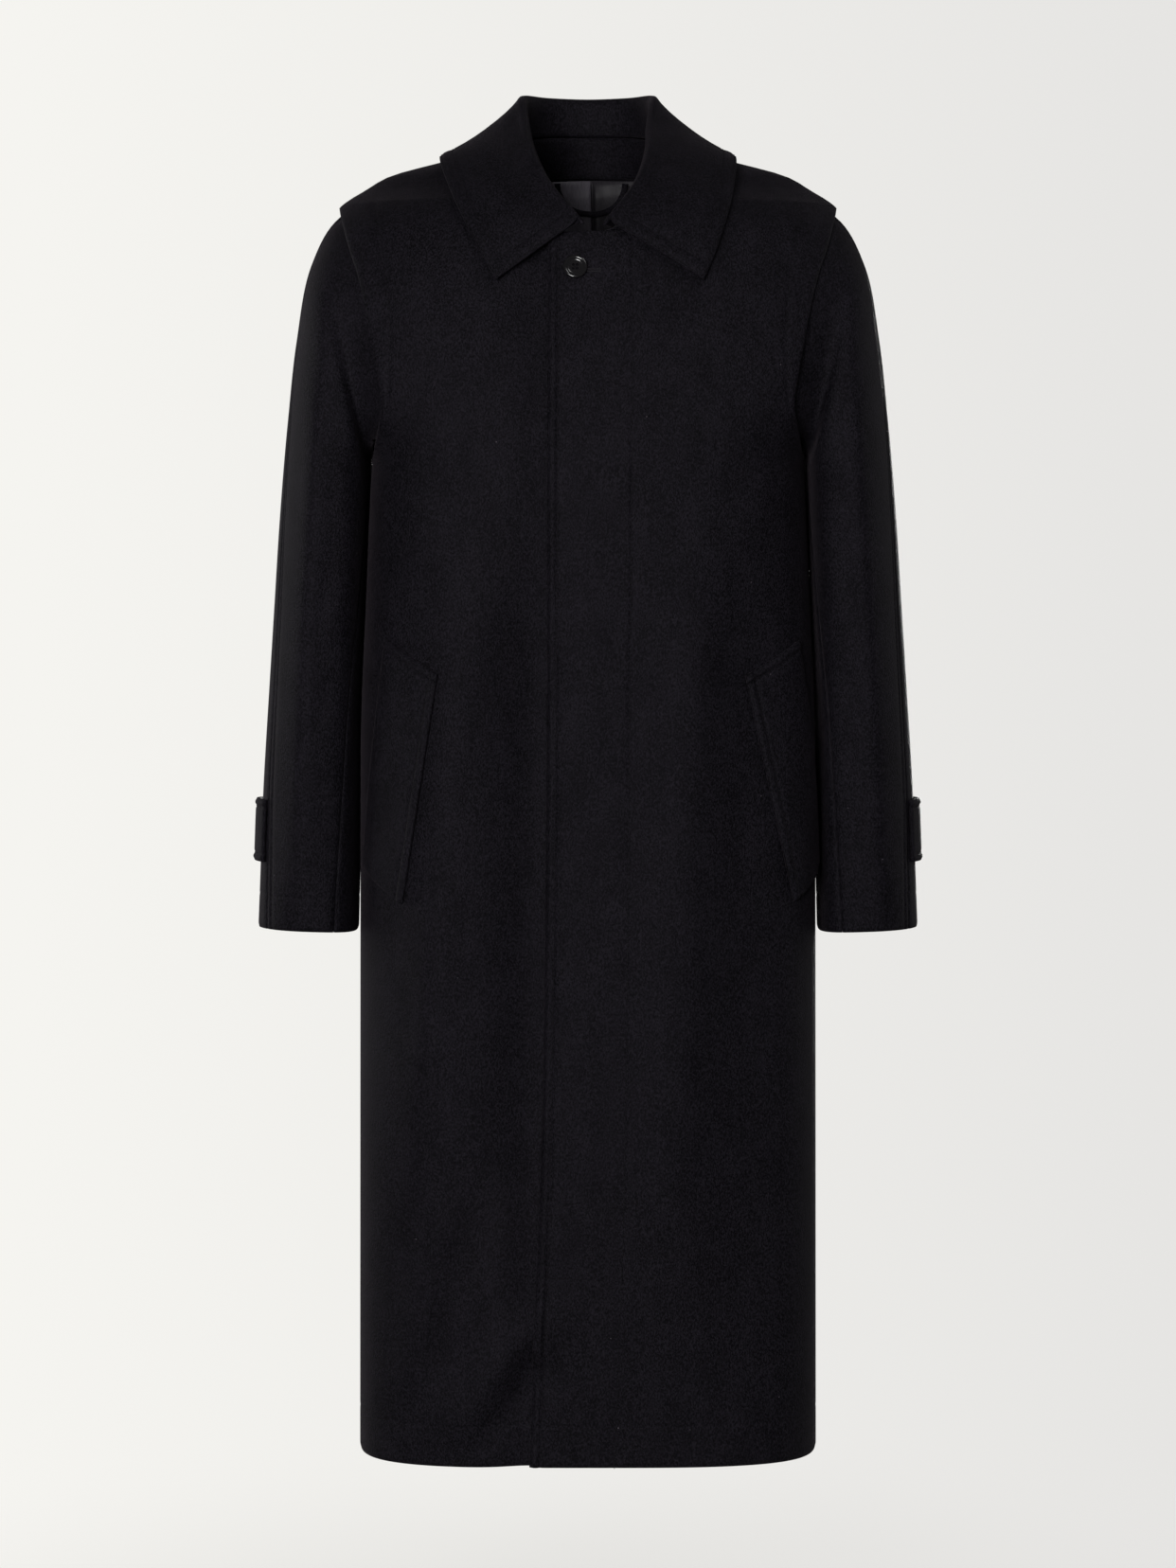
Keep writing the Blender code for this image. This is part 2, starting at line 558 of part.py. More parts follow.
def hanger_loop(depth):
    """A narrow strip that hangs in a curve from the lower edge of the facing."""
    turn = np.linspace(0.0, math.pi, 19)
    width = np.array([[0.0], [LOOP_WIDTH]])
    x = LOOP_CENTRE_X - (LOOP_HALF_SPAN - width) * np.cos(turn)
    z = facing_foot(x) - 0.001 - (LOOP_SAG - width) * np.sin(turn)
    stand = depth + 0.0010 * np.sin(turn) * np.ones_like(width)
    return wall("hanger_loop", back_at(x, z, -stand), back_at(x, z, -stand - LOOP_WALL), LODEN)


def ring_length(z):
    """Bearings and the distance along the cloth from the centre front, at one height."""
    bearing = np.linspace(0.0, math.pi, 721)
    points = body(bearing, z)
    steps = np.linalg.norm(np.diff(points, axis=0), axis=1)
    return bearing, np.concatenate([[0.0], np.cumsum(steps)])


def welt_piece(name, side, head_x, head_z, foot_x, foot_z):
    """A slanted pocket welt, laid on its front from that panel's points."""
    across = np.linspace(0.0, 1.0, 7)
    along = np.linspace(0.0, 1.0, 9)
    bearing = np.zeros((len(along), len(across)))
    z = np.zeros_like(bearing)
    for j, v in enumerate(along):
        for i, u in enumerate(across):
            z[j, i] = head_z + (foot_z - head_z) * v + WELT_SLANT * u
            turn, length = ring_length(z[j, i])
            inner_x = abs(head_x + (foot_x - head_x) * v)
            start = np.interp(float(bearing_at(inner_x, z[j, i])), turn, length)
            bearing[j, i] = side * min(np.interp(start + WELT_WIDTH * u, length, turn), WELT_REACH)
    return wall(name, on_body(bearing, z, WELT_LIFT + WELT_WALL), on_body(bearing, z, WELT_LIFT), LODEN)


def tab_rows():
    """Turns and lengths of the tab's net; its free end narrows to a round nose."""
    share = np.concatenate([np.linspace(0.0, 0.86, 12), [0.92, 0.97, 1.0]])
    nose = np.clip((share - 0.86) / 0.14, 0.0, 1.0)
    width = np.sqrt(1 - (0.9 * nose) ** 2)
    middle = TAB_TOP + 0.5 * TAB_HEIGHT
    start = math.radians(float(outer_seam(middle))) - 0.02
    across = np.linspace(-0.5, 0.5, 5)
    down = middle + TAB_HEIGHT * across[:, None] * width
    turn = np.broadcast_to(start - TAB_TURN * share, down.shape)
    spring = LAP_GAP + TAB_LIFT * np.sin(math.pi * np.clip(share, 0.0, 1.0)) ** 0.8
    return turn, down, np.broadcast_to(spring, down.shape)


def tab_piece(name, side):
    turn, down, spring = tab_rows()
    face = mirrored(on_sleeve(turn, down, spring + TAB_WALL), side)
    return wall(name, face, mirrored(on_sleeve(turn, down, spring), side), LODEN)


def button(name, radius, centre, out):
    """A turned button with a raised rim and four holes, set with its back at the centre."""
    profile = (
        (0.0, 0.0), (0.62, 0.0), (0.94, 0.30), (1.0, 0.58), (0.96, 0.88), (0.86, 1.0), (0.74, 0.90),
        (0.64, 0.62), (0.0, 0.56),
    )
    outline = [(radius * r, 0.0, BUTTON_HEIGHT * h) for r, h in profile]
    mesh = bpy.data.meshes.new(name)
    mesh.from_pydata(outline, [(k, k + 1) for k in range(len(outline) - 1)], [])
    item = add_object(name, mesh, HORN)
    turned = item.modifiers.new("turned", "SCREW")
    turned.steps = 18
    turned.render_steps = 18
    turned.use_merge_vertices = True
    turned.merge_threshold = 0.00001
    turned.use_normal_calculate = True
    drills = []
    for k in range(4):
        place = Matrix.Rotation(math.radians(45 + 90 * k), 4, "Z")
        place = place @ Matrix.Translation((BUTTON_HOLE_OFFSET, 0.0, 0.0))
        drill_net = bmesh.new()
        bmesh.ops.create_cone(
            drill_net, cap_ends=True, segments=6, radius1=BUTTON_HOLE_RADIUS, radius2=BUTTON_HOLE_RADIUS,
            depth=4 * BUTTON_HEIGHT, matrix=place,
        )
        drill_mesh = bpy.data.meshes.new("drill")
        drill_net.to_mesh(drill_mesh)
        drill_net.free()
        drill = bpy.data.objects.new("drill", drill_mesh)
        COAT.objects.link(drill)
        cut = item.modifiers.new("hole", "BOOLEAN")
        cut.operation = "DIFFERENCE"
        cut.solver = "EXACT"
        cut.object = drill
        drills.append(drill)
    graph = bpy.context.evaluated_depsgraph_get()
    finished = bpy.data.meshes.new_from_object(item.evaluated_get(graph))
    item.modifiers.clear()
    item.data = finished
    for drill in drills:
        bpy.data.objects.remove(drill, do_unlink=True)
    turn = Vector((0.0, 0.0, 1.0)).rotation_difference(Vector(out.tolist()))
    item.matrix_world = Matrix.Translation(Vector(centre.tolist())) @ turn.to_matrix().to_4x4()
    return item


front_piece("front_left", 1)
front_piece("front_right", -1)
back_bearing, back_z = back_rows(PANEL_ROWS)
wall("back", on_body(back_bearing, back_z), on_body(back_bearing, back_z, -CLOTH), LODEN)
for side, hand in ((1, "left"), (-1, "right")):
    for half in ("front", "back"):
        sleeve_piece(f"sleeve_{hand}_{half}", side, half)
    tab_piece(f"sleeve_tab_{hand}", side)
    tab_turn = math.radians(float(outer_seam(TAB_TOP))) - 0.80 * TAB_TURN
    tab_down = TAB_TOP + 0.5 * TAB_HEIGHT
    tab_spring = LAP_GAP + TAB_LIFT * math.sin(math.pi * 0.80) ** 0.8
    seat = mirrored(on_sleeve(tab_turn, tab_down, tab_spring + TAB_WALL + 0.0010), side)
    facing_out = mirrored(normals(sleeve, np.array(tab_turn), np.array(tab_down), 0.03, 0.002), side)
    button(f"tab_button_{hand}", TAB_BUTTON_RADIUS, seat, facing_out)
collar_piece()
facing_piece("back_neck_facing", CLOTH + LAP_GAP)
lining_depth = CLOTH + LINING_HANG
lining_piece("lining_left", PLEAT_X - PLEAT_LAP, LINING_REACH, lining_depth)
lining_piece("lining_right", -LINING_REACH, PLEAT_X, lining_depth + SATIN + PLEAT_GAP)
hanger_loop(lining_depth + 2 * SATIN + PLEAT_GAP + LAP_GAP)
for side, head_x, head_z, foot_x, foot_z in WELTS:
    welt_piece("pocket_welt_left" if side > 0 else "pocket_welt_right", side, head_x, head_z, foot_x, foot_z)
neck_bearing = bearing_at(NECK_BUTTON_X, NECK_BUTTON_Z)
neck_out = normals(body, np.array(neck_bearing), np.array(NECK_BUTTON_Z), 0.03, 0.002)
button("neck_button", NECK_BUTTON_RADIUS, on_body(neck_bearing, NECK_BUTTON_Z, LAP_GAP), neck_out)
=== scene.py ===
# %% [markdown]
# # A loden coat
# This lesson dresses the solids of a knee-length coat of felted wool, filled out as it is worn.
# Each solid is replaced by a finer cloth shell on the same form, with its creases and its sewing.

# %% Load the solids
import json
import math

import bpy
import numpy as np
from mathutils import Matrix, Vector

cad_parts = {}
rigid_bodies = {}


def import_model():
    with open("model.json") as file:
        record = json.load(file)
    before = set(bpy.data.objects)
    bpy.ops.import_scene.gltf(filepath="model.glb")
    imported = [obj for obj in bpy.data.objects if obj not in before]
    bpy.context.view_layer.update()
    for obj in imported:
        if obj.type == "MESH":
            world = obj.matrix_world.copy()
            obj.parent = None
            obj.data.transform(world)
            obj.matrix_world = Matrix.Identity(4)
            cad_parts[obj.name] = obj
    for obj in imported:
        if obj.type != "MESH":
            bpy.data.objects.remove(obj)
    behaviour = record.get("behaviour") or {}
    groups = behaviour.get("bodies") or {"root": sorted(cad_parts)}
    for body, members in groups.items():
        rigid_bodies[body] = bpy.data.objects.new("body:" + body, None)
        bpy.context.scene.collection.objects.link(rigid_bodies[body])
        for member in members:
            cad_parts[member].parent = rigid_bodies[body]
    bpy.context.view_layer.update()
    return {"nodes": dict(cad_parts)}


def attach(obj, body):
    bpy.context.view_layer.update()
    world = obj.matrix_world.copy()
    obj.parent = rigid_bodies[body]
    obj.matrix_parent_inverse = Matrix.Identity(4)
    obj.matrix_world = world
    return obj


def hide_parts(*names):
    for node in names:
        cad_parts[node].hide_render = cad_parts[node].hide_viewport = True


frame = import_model()
print("solids to dress:", len(frame["nodes"]))

# %% [markdown]
# ## The form of the coat
# A filled-out coat is a stack of rounded sections. It could be sculpted, but then its seams would
# be hard to find again. Sections with named sizes give every point a bearing round the body and a
# height, so that panels, stitches and buttons can all be placed on the same face.

# %% Sections of the body, in metres: +X is the wearer's left, the front faces -Y
BODY = (                  # height, half width, depth of the front, depth of the back, squareness
    (0.0240, 0.0665, 0.030, 0.091, 2.00),
    (0.0000, 0.0760, 0.036, 0.098, 1.75),
    (-0.0146, 0.1310, 0.050, 0.101, 1.50),
    (-0.0290, 0.1830, 0.058, 0.104, 1.50),
    (-0.0410, 0.2030, 0.065, 0.107, 1.60),
    (-0.0520, 0.2200, 0.071, 0.109, 1.90),
    (-0.0576, 0.2258, 0.075, 0.110, 2.15),
    (-0.0900, 0.2450, 0.0915, 0.116, 2.75),
    (-0.1400, 0.2580, 0.104, 0.123, 3.00),
    (-0.2000, 0.2500, 0.115, 0.127, 3.00),
    (-0.2500, 0.2220, 0.121, 0.127, 3.00),
    (-0.2900, 0.1952, 0.124, 0.126, 3.00),
    (-0.3150, 0.1965, 0.1245, 0.125, 3.05),
    (-0.4200, 0.2005, 0.126, 0.122, 3.15),
    (-0.4900, 0.2036, 0.127, 0.1225, 3.25),
    (-0.5600, 0.2050, 0.128, 0.123, 3.30),
    (-0.7000, 0.2050, 0.129, 0.125, 3.40),
    (-1.1695, 0.2048, 0.130, 0.130, 3.80),
)

# %% Smooth curves through the stations of a table
def through(stations, values, loose=False, each=False):
    """A smooth curve. A loose one rounds its turns; with each, every point has its own curve."""
    x = np.asarray(stations, float)
    y = np.asarray(values, float)
    step = np.diff(x).reshape((-1,) + (1,) * (y.ndim - 1))
    slope = np.diff(y, axis=0) / step
    tangent = np.zeros_like(y)
    tangent[0] = slope[0]
    tangent[-1] = slope[-1]
    if loose:
        tangent[1:-1] = (slope[:-1] * step[1:] + slope[1:] * step[:-1]) / (step[1:] + step[:-1])
    else:
        both = slope[:-1] * slope[1:]
        total = np.where(np.abs(slope[:-1] + slope[1:]) < 1e-12, 1.0, slope[:-1] + slope[1:])
        tangent[1:-1] = np.where(both > 0, 2 * both / total, 0.0)

    def at(q):
        q = np.asarray(q, float)
        i = np.clip(np.searchsorted(x, q, side="right") - 1, 0, len(x) - 2)
        before = (i, np.arange(len(q))) if each else (i,)
        after = (i + 1,) + before[1:]
        width = (x[i + 1] - x[i]).reshape(q.shape + (1,) * (y[before].ndim - q.ndim))
        t = (q - x[i]).reshape(width.shape) / width
        start = y[before] * (1 + 2 * t) * (1 - t) ** 2 + width * tangent[before] * t * (1 - t) ** 2
        end = y[after] * t * t * (3 - 2 * t) + width * tangent[after] * t * t * (t - 1)
        return start + end

    return at


def smoothstep(t):
    t = np.clip(t, 0.0, 1.0)
    return t * t * (3 - 2 * t)


def curves(table):
    """A smooth curve for every later column of a table, over its first column."""
    rows = np.array(sorted(table), float)
    return [through(rows[:, 0], column) for column in rows.T[1:]]


half_width, front_depth, back_depth, squareness = curves(BODY)
print("sections of the body:", len(BODY))

# %% [markdown]
# ## Folds and creases
# Heavy wool makes few, broad folds: they hang from the chest and the hips, and one runs slanting
# to the hem. Small creases stay where an arm or a pocket pulls. A cloth simulation would smear
# them anywhere, so each one is placed one by one as a soft ridge or trough with its own size.

# %% Folds (large) and creases (small)
# Each row: side (-1 is the front, 1 the back), top x and z, foot x and z, half width, height.
FOLDS = (
    (-1, -0.112, -0.400, -0.148, -0.900, 0.030, 0.0065),
    (-1, -0.056, -0.400, -0.068, -0.920, 0.028, -0.0070),
    (-1, -0.042, -1.040, -0.118, -1.146, 0.022, 0.0065),
    (-1, -0.040, -1.078, -0.100, -1.152, 0.016, -0.0040),
    (-1, -0.098, -0.930, -0.134, -1.095, 0.020, -0.0045),
    (-1, 0.094, -0.420, 0.070, -0.960, 0.030, 0.0060),
    (-1, 0.150, -0.380, 0.142, -1.100, 0.042, -0.0090),
    (1, -0.070, -0.480, -0.094, -1.060, 0.034, 0.0065),
    (1, 0.060, -0.520, 0.088, -1.040, 0.034, 0.0065),
    (1, 0.000, -0.330, 0.004, -0.760, 0.045, -0.0060),
)
CREASES = (
    (-1, -0.114, -0.430, -0.147, -0.890, 0.0200, 0.0022),
    (-1, -0.037, -0.430, -0.046, -0.930, 0.0240, -0.0060),
    (-1, -0.124, -0.945, -0.160, -1.100, 0.0180, 0.0040),
    (-1, -0.203, -0.455, -0.188, -0.484, 0.0050, -0.0022),
    (-1, 0.200, -0.459, 0.190, -0.487, 0.0050, -0.0020),
    (-1, -0.168, -0.305, -0.120, -0.405, 0.0130, 0.0012),
    (-1, 0.170, -0.300, 0.128, -0.372, 0.0120, 0.0011),
    (-1, 0.018, -0.087, 0.027, -0.094, 0.0030, -0.0009),
    (-1, -0.176, -0.700, -0.150, -0.790, 0.0120, -0.0011),
    (-1, 0.182, -0.690, 0.160, -0.765, 0.0110, -0.0010),
    (-1, 0.020, -0.930, 0.030, -1.120, 0.0200, 0.0010),
    (1, -0.160, -0.300, -0.112, -0.400, 0.0130, 0.0013),
    (1, 0.158, -0.305, 0.118, -0.420, 0.0140, 0.0013),
    (1, -0.130, -0.180, -0.150, -0.290, 0.0150, -0.0014),
    (1, 0.128, -0.170, 0.150, -0.300, 0.0150, -0.0014),
    (1, -0.140, -0.820, -0.120, -1.080, 0.0180, -0.0020),
    (1, 0.145, -0.760, 0.128, -1.020, 0.0200, -0.0022),
    (1, 0.010, -0.860, -0.020, -1.120, 0.0220, 0.0018),
)
FOLD_FADE = 0.35          # cosine of the bearing from which the folds fade out to the side seams
FOLD_RAMP = 0.35          # share of a fold's length over which each of its ends fades out


def bell(t):
    """A soft hump: 1 at 0, next to nothing past 2."""
    return np.exp(-(t ** 2))


def ridge(x, z, run, half, height):
    """Rise of one fold at x and z from its top. The run leads from its top to its foot."""
    length = np.hypot(*run)
    run = np.array(run) / length
    along = x * run[0] + z * run[1]
    across = x * run[1] - z * run[0]
    ramp = FOLD_RAMP * length
    fade = smoothstep(along / ramp + 0.5) * smoothstep((length - along) / ramp + 0.5)
    return height * bell(across / half) * fade


def fold_rise(x, z, side):
    """How far the folds and creases of one side lift the cloth at x and z."""
    rise = np.zeros(np.broadcast(x, z).shape)
    for face, top_x, top_z, foot_x, foot_z, half, height in FOLDS + CREASES:
        if face == side:
            run = (foot_x - top_x, foot_z - top_z)
            rise = rise + ridge(x - top_x, z - top_z, run, half, height)
    return rise


# %% The face of the body
TURN_STEP = 0.02          # slopes are taken over this many radians
LENGTH_STEP = 0.002       # and over this length


def body(bearing, z):
    """Face of the cloth at a bearing from the centre front, round by the left, and a height."""
    bearing, z = np.broadcast_arrays(np.asarray(bearing, float), np.asarray(z, float))
    n = squareness(z)
    sine, cosine = np.sin(bearing), np.cos(bearing)
    scale = (np.abs(sine) ** n + np.abs(cosine) ** n) ** (-1 / n)
    x = half_width(z) * scale * sine
    shown = smoothstep(np.abs(cosine) / FOLD_FADE)
    front = -front_depth(z) * scale * cosine - shown * fold_rise(x, z, -1)
    back = -back_depth(z) * scale * cosine + shown * fold_rise(x, z, 1)
    return np.stack([x, np.where(cosine > 0, front, back), z], -1)


def normals(surface, u, v, du=TURN_STEP, dv=LENGTH_STEP):
    """Outward directions of a surface, by its slopes along u and v."""
    across = surface(u + du, v) - surface(u - du, v)
    along = surface(u, v + dv) - surface(u, v - dv)
    out = np.cross(across, along)
    return out / np.linalg.norm(out, axis=-1, keepdims=True)


def raised(surface, u, v, out):
    """Points of a surface moved out of its face."""
    u, v, out = np.broadcast_arrays(*[np.asarray(q, float) for q in (u, v, out)])
    return surface(u, v) + out[..., None] * normals(surface, u, v)


def bearing_at(x, z):
    """Bearing of the front's point at x. The back's is pi less this."""
    share = np.clip(np.abs(x) / half_width(z), 0.0, 1.0)
    n = squareness(z)
    return np.sign(x) * np.arctan2(share, (1 - share ** n) ** (1 / n))


print("folds:", len(FOLDS), "creases:", len(CREASES))

# %% [markdown]
# ## Finishes
# Every finish is a small net of nodes. One helper adds a node, sets it and links it, and another
# turns the sRGB colours that a painter would read off into the linear ones that a shader needs.

# %% Helpers for materials
def linear(hex_colour):
    """An sRGB hex colour as a linear RGBA one."""
    parts = [int(hex_colour[k:k + 2], 16) / 255 for k in (1, 3, 5)]
    return [c / 12.92 if c <= 0.04045 else ((c + 0.055) / 1.055) ** 2.4 for c in parts] + [1.0]


def add_node(tree, kind, settings=None, links=None):
    """A node with its settings (sockets by name, or else properties) and the outputs that feed it."""
    node = tree.nodes.new(kind)
    for name, value in (settings or {}).items():
        if isinstance(name, int) or name in node.inputs:
            node.inputs[name].default_value = value
        else:
            setattr(node, name, value)
    for name, source in (links or {}).items():
        tree.links.new(source, node.inputs[name])
    return node


def new_finish(name):
    """An empty material, its tree and its coordinates in metres."""
    material = bpy.data.materials.new(name)
    material.use_nodes = True
    tree = material.node_tree
    tree.nodes.clear()
    place = add_node(tree, "ShaderNodeTexCoord").outputs["Object"]
    return material, tree, place


def noise(tree, place, size, detail, roughness=0.5):
    """Cloudy noise, with the size of its clouds in metres."""
    settings = {"Scale": 1 / size, "Detail": detail, "Roughness": roughness}
    return add_node(tree, "ShaderNodeTexNoise", settings, {"Vector": place}).outputs["Fac"]


def drawn_out(tree, place, scale):
    """Coordinates scaled along each axis."""
    return add_node(tree, "ShaderNodeMapping", {"Scale": scale}, {"Vector": place}).outputs["Vector"]


def shades(tree, share, dark, light, low=0.0, high=1.0):
    """Colours from dark to light as the share goes from low to high."""
    ramp = add_node(tree, "ShaderNodeValToRGB", links={"Fac": share})
    for stop, position, colour in zip(ramp.color_ramp.elements, (low, high), (dark, light)):
        stop.position = position
        stop.color = linear(colour)
    return ramp.outputs["Color"]


def between(tree, share, low, high):
    """A value from low to high as the share goes from 0 to 1."""
    settings = {"To Min": low, "To Max": high}
    return add_node(tree, "ShaderNodeMapRange", settings, {"Value": share}).outputs["Result"]


def bumps(tree, height, strength, depth):
    """A normal that follows the height, with the depth in metres."""
    settings = {"Strength": strength, "Distance": depth}
    return add_node(tree, "ShaderNodeBump", settings, {"Height": height}).outputs["Normal"]


def close_finish(tree, settings, links):
    """The shader and the output of a finish."""
    shader = add_node(tree, "ShaderNodeBsdfPrincipled", settings, links)
    add_node(tree, "ShaderNodeOutputMaterial", links={"Surface": shader.outputs["BSDF"]})


# %% [markdown]
# ### Felted loden wool
# Loden is woven wool that is milled until it felts and then brushed down. The eye sees no weave,
# only a matt nap with a fine grain, a faint light rim where the fibres stand up, and here and
# there a pale fleck of lint. Wool hardly mirrors, so its specular level is low.

# %% Felted loden wool, milled and brushed
MM = 0.001
NAP_GRAIN = 1.2 * MM      # real tufts are about 0.5 mm; drawn coarser, so that they show
NAP_CLOUD = 22.0 * MM     # patches where the nap lies another way
NAP_RUN = (1.0, 1.0, 0.55)          # brushing draws the nap out downwards
CLOUD_SHARE = 0.14        # weight of the patches beside the grain
NAP_DEPTH = 0.8 * MM
LINT_SPACING = 34.0 * MM
LINT_SIZE = 0.55 * MM
MIX_A, MIX_B, MIXED = 6, 7, 2       # colour sockets of the Mix node

LODEN, tree, place = new_finish("felted loden wool, milled and brushed")
brushed = drawn_out(tree, place, NAP_RUN)
grain = noise(tree, brushed, NAP_GRAIN, 3.0, 0.65)
cloud = noise(tree, brushed, NAP_CLOUD, 2.0)
pile = add_node(
    tree, "ShaderNodeMath", {"operation": "MULTIPLY_ADD", 1: CLOUD_SHARE}, {0: cloud, 2: grain},
).outputs["Value"]
shade = shades(tree, pile, "#020203", "#17151a", 0.49, 0.70)
cell = add_node(
    tree, "ShaderNodeTexVoronoi", {"Scale": 1 / LINT_SPACING, "feature": "F1"}, {"Vector": place},
).outputs["Distance"]
near = add_node(
    tree, "ShaderNodeMath", {"operation": "LESS_THAN", 1: LINT_SIZE / LINT_SPACING}, {0: cell},
).outputs["Value"]
fleck = add_node(
    tree, "ShaderNodeMix", {"data_type": "RGBA", MIX_B: linear("#454045")}, {0: near, MIX_A: shade},
).outputs[MIXED]
rough = between(tree, grain, 0.50, 0.68)
nap = bumps(tree, pile, 1.0, NAP_DEPTH)
close_finish(
    tree,
    {
        "Specular IOR Level": 0.064, "Specular Tint": linear("#f4ecfb"),
        "Sheen Weight": 0.03, "Sheen Roughness": 0.35, "Sheen Tint": linear("#d8c8d6"),
    },
    {"Base Color": fleck, "Roughness": rough, "Normal": nap},
)
print("finish:", LODEN.name)

# %% [markdown]
# ### Lining satin
# The lining is woven in satin: long floats on its face make it smooth, so that its folds catch
# soft lights. The floats run down the cloth and leave fine upright streaks. The two halves get a
# lighter and a darker copy of the satin: painted light on one half and painted shade on the other.

# %% Lining satin, woven
FLOAT_WIDTH = 0.9 * MM    # real floats are about 0.15 mm; drawn coarser, so that they show
FLOAT_RUN = (1.0, 1.0, 0.06)        # draws them out downwards
FLOAT_DEPTH = 0.1 * MM


def satin_finish(name, dark, light):
    """Satin whose fine upright floats differ a little in shade and gloss."""
    finish, tree, place = new_finish(name)
    floats = noise(tree, drawn_out(tree, place, FLOAT_RUN), FLOAT_WIDTH, 2.0)
    close_finish(tree, {"Specular IOR Level": 0.09}, {
        "Base Color": shades(tree, floats, dark, light, 0.30, 0.75),
        "Roughness": between(tree, floats, 0.36, 0.50),
        "Normal": bumps(tree, floats, 0.15, FLOAT_DEPTH),
    })
    return finish


# Two copies of one satin: the lighter one is painted light, the darker one painted shade.
PAINTED_LIT_SATIN = satin_finish("lining satin, woven, painted lit", "#3a373d", "#4a474d")
PAINTED_SHADE_SATIN = satin_finish("lining satin, woven, painted in shade", "#1b191d", "#282629")
print("finishes:", PAINTED_LIT_SATIN.name, "and", PAINTED_SHADE_SATIN.name)

# %% [markdown]
# ### Polished button resin and sewing thread
# The buttons are turned from black resin and polished, so they mirror the studio; faint cloudy
# marks in the gloss keep them from looking like glass. The thread is spun polyester, as dark as
# the wool but smoother, so a line of stitches shows mainly by its small lights. The buttonhole is
# worked in a twist that is a little lighter.

# %% Black polyester resin, turned and polished
RESIN_MARK = 1.5 * MM
RESIN, tree, place = new_finish("black polyester resin, turned and polished")
marks = noise(tree, place, RESIN_MARK, 4.0)
close_finish(tree, {"IOR": 1.45}, {
    "Base Color": shades(tree, marks, "#060506", "#121113"),
    "Roughness": between(tree, marks, 0.08, 0.20),
})

# %% Polyester threads, spun and twisted
PLY = 0.7 * MM            # length of one twist


def thread_finish(name, dark, light):
    """A twisted thread: its plies differ a little in shade."""
    finish, tree, place = new_finish(name)
    plies = shades(tree, noise(tree, place, PLY, 1.0), dark, light)
    close_finish(tree, {"Roughness": 0.60, "Specular IOR Level": 0.08}, {"Base Color": plies})
    return finish


THREAD = thread_finish("polyester thread, spun and twisted", "#070608", "#141216")
TWIST = thread_finish("polyester buttonhole twist, spun and twisted", "#151316", "#242226")
print("finishes:", RESIN.name, THREAD.name, "and", TWIST.name)

# %% [markdown]
# ## Cloth shells
# A panel is a net of points on the form. Its seen face and its hidden back are joined by a rim
# with one rounded loop, because a felted edge is never sharp. Near an edge the face rolls in, and
# along a line of sewing it dips and puffs, which makes the sewing show before any thread is drawn.

# %% Build one shell from its nets
CLOTH = 0.0022            # wall of the wool
RIM_BULGE = 0.0002


def add_object(name, data):
    """A new object in the scene."""
    thing = bpy.data.objects.new(name, data)
    bpy.context.scene.collection.objects.link(thing)
    return thing


def add_mesh(name, points, faces, material=None):
    """A new mesh object from points and the corners of its faces."""
    mesh = bpy.data.meshes.new(name)
    mesh.from_pydata(points.reshape(-1, 3).tolist(), [], [list(face) for face in faces])
    if material:
        mesh.materials.append(material)
    return add_object(name, mesh)


def add_piece(name, points, faces, material):
    """A smooth mesh piece that rides on the coat's one body."""
    piece = add_mesh(name, points, faces, material)
    piece.data.polygons.foreach_set("use_smooth", [True] * len(piece.data.polygons))
    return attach(piece, "root")


def shell(name, face, back, material):
    """A closed shell: seen face, hidden back, and a rim rounded by one loop between them."""
    rows, cols = face.shape[:2]
    count = rows * cols
    net = np.arange(count).reshape(rows, cols)
    near = np.stack([net[:-1, :-1], net[:-1, 1:], net[1:, 1:], net[1:, :-1]], -1).reshape(-1, 4)
    rim = np.concatenate([net[0, :-1], net[:-1, -1], net[-1, :0:-1], net[:0:-1, 0]])
    inside = np.concatenate([net[1, :-1], net[:-1, -2], net[-2, :0:-1], net[:0:-1, 1]])
    flat_face, flat_back = face.reshape(-1, 3), back.reshape(-1, 3)
    away = flat_face[rim] - flat_face[inside]
    away = away / np.linalg.norm(away, axis=1, keepdims=True)
    middle = 0.5 * (flat_face[rim] + flat_back[rim]) + RIM_BULGE * away
    loop = 2 * count + np.arange(len(rim))
    after, loop_after = np.roll(rim, -1), np.roll(loop, -1)
    faces = np.concatenate([
        near, near[:, ::-1] + count,
        np.stack([after, rim, loop, loop_after], 1),
        np.stack([loop_after, loop, rim + count, after + count], 1),
    ])
    j, i = rows // 2, cols // 2
    a, b, c = face[j, i], face[j, i + 1], face[j + 1, i]
    if np.dot(np.cross(b - a, c - a), a - back[j, i]) <= 0:
        faces = faces[:, ::-1]
    points = np.concatenate([flat_face, flat_back, middle])
    return add_piece(name, points, faces.tolist(), material)


def dress(node, face, back, material=LODEN, ending="cloth"):
    """Replace one solid by its shell, in the given material."""
    piece = shell(f"{node}_{ending}", face, back, material)
    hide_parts(node)
    print(piece.name, "faces:", len(piece.data.polygons))
    return piece


# %% Nets that are finer where something is sewn
def spread(end, step, marks=(), reach=0.004, fine=0.001):
    """Stations from 0 to end, a step apart, and closer round the marks where a line is sewn."""
    marks = np.asarray(marks, float)
    count = int(round(end / step))
    wide = np.linspace(0.0, end, count + 1)
    wide = [q for q in wide if not len(marks) or np.abs(marks - q).min() > reach]
    around = np.arange(-reach, reach + 0.5 * fine, fine)
    close = np.concatenate([mark + around for mark in marks] or [[]])
    close = close[(close > 0.3 * fine) & (close < end - 0.3 * fine)]
    stations = np.unique(np.concatenate([[0.0, end], wide, close]).round(6))
    keep = np.concatenate([[True], np.diff(stations) > 0.45 * fine])
    keep[-1] = True
    return stations[keep]


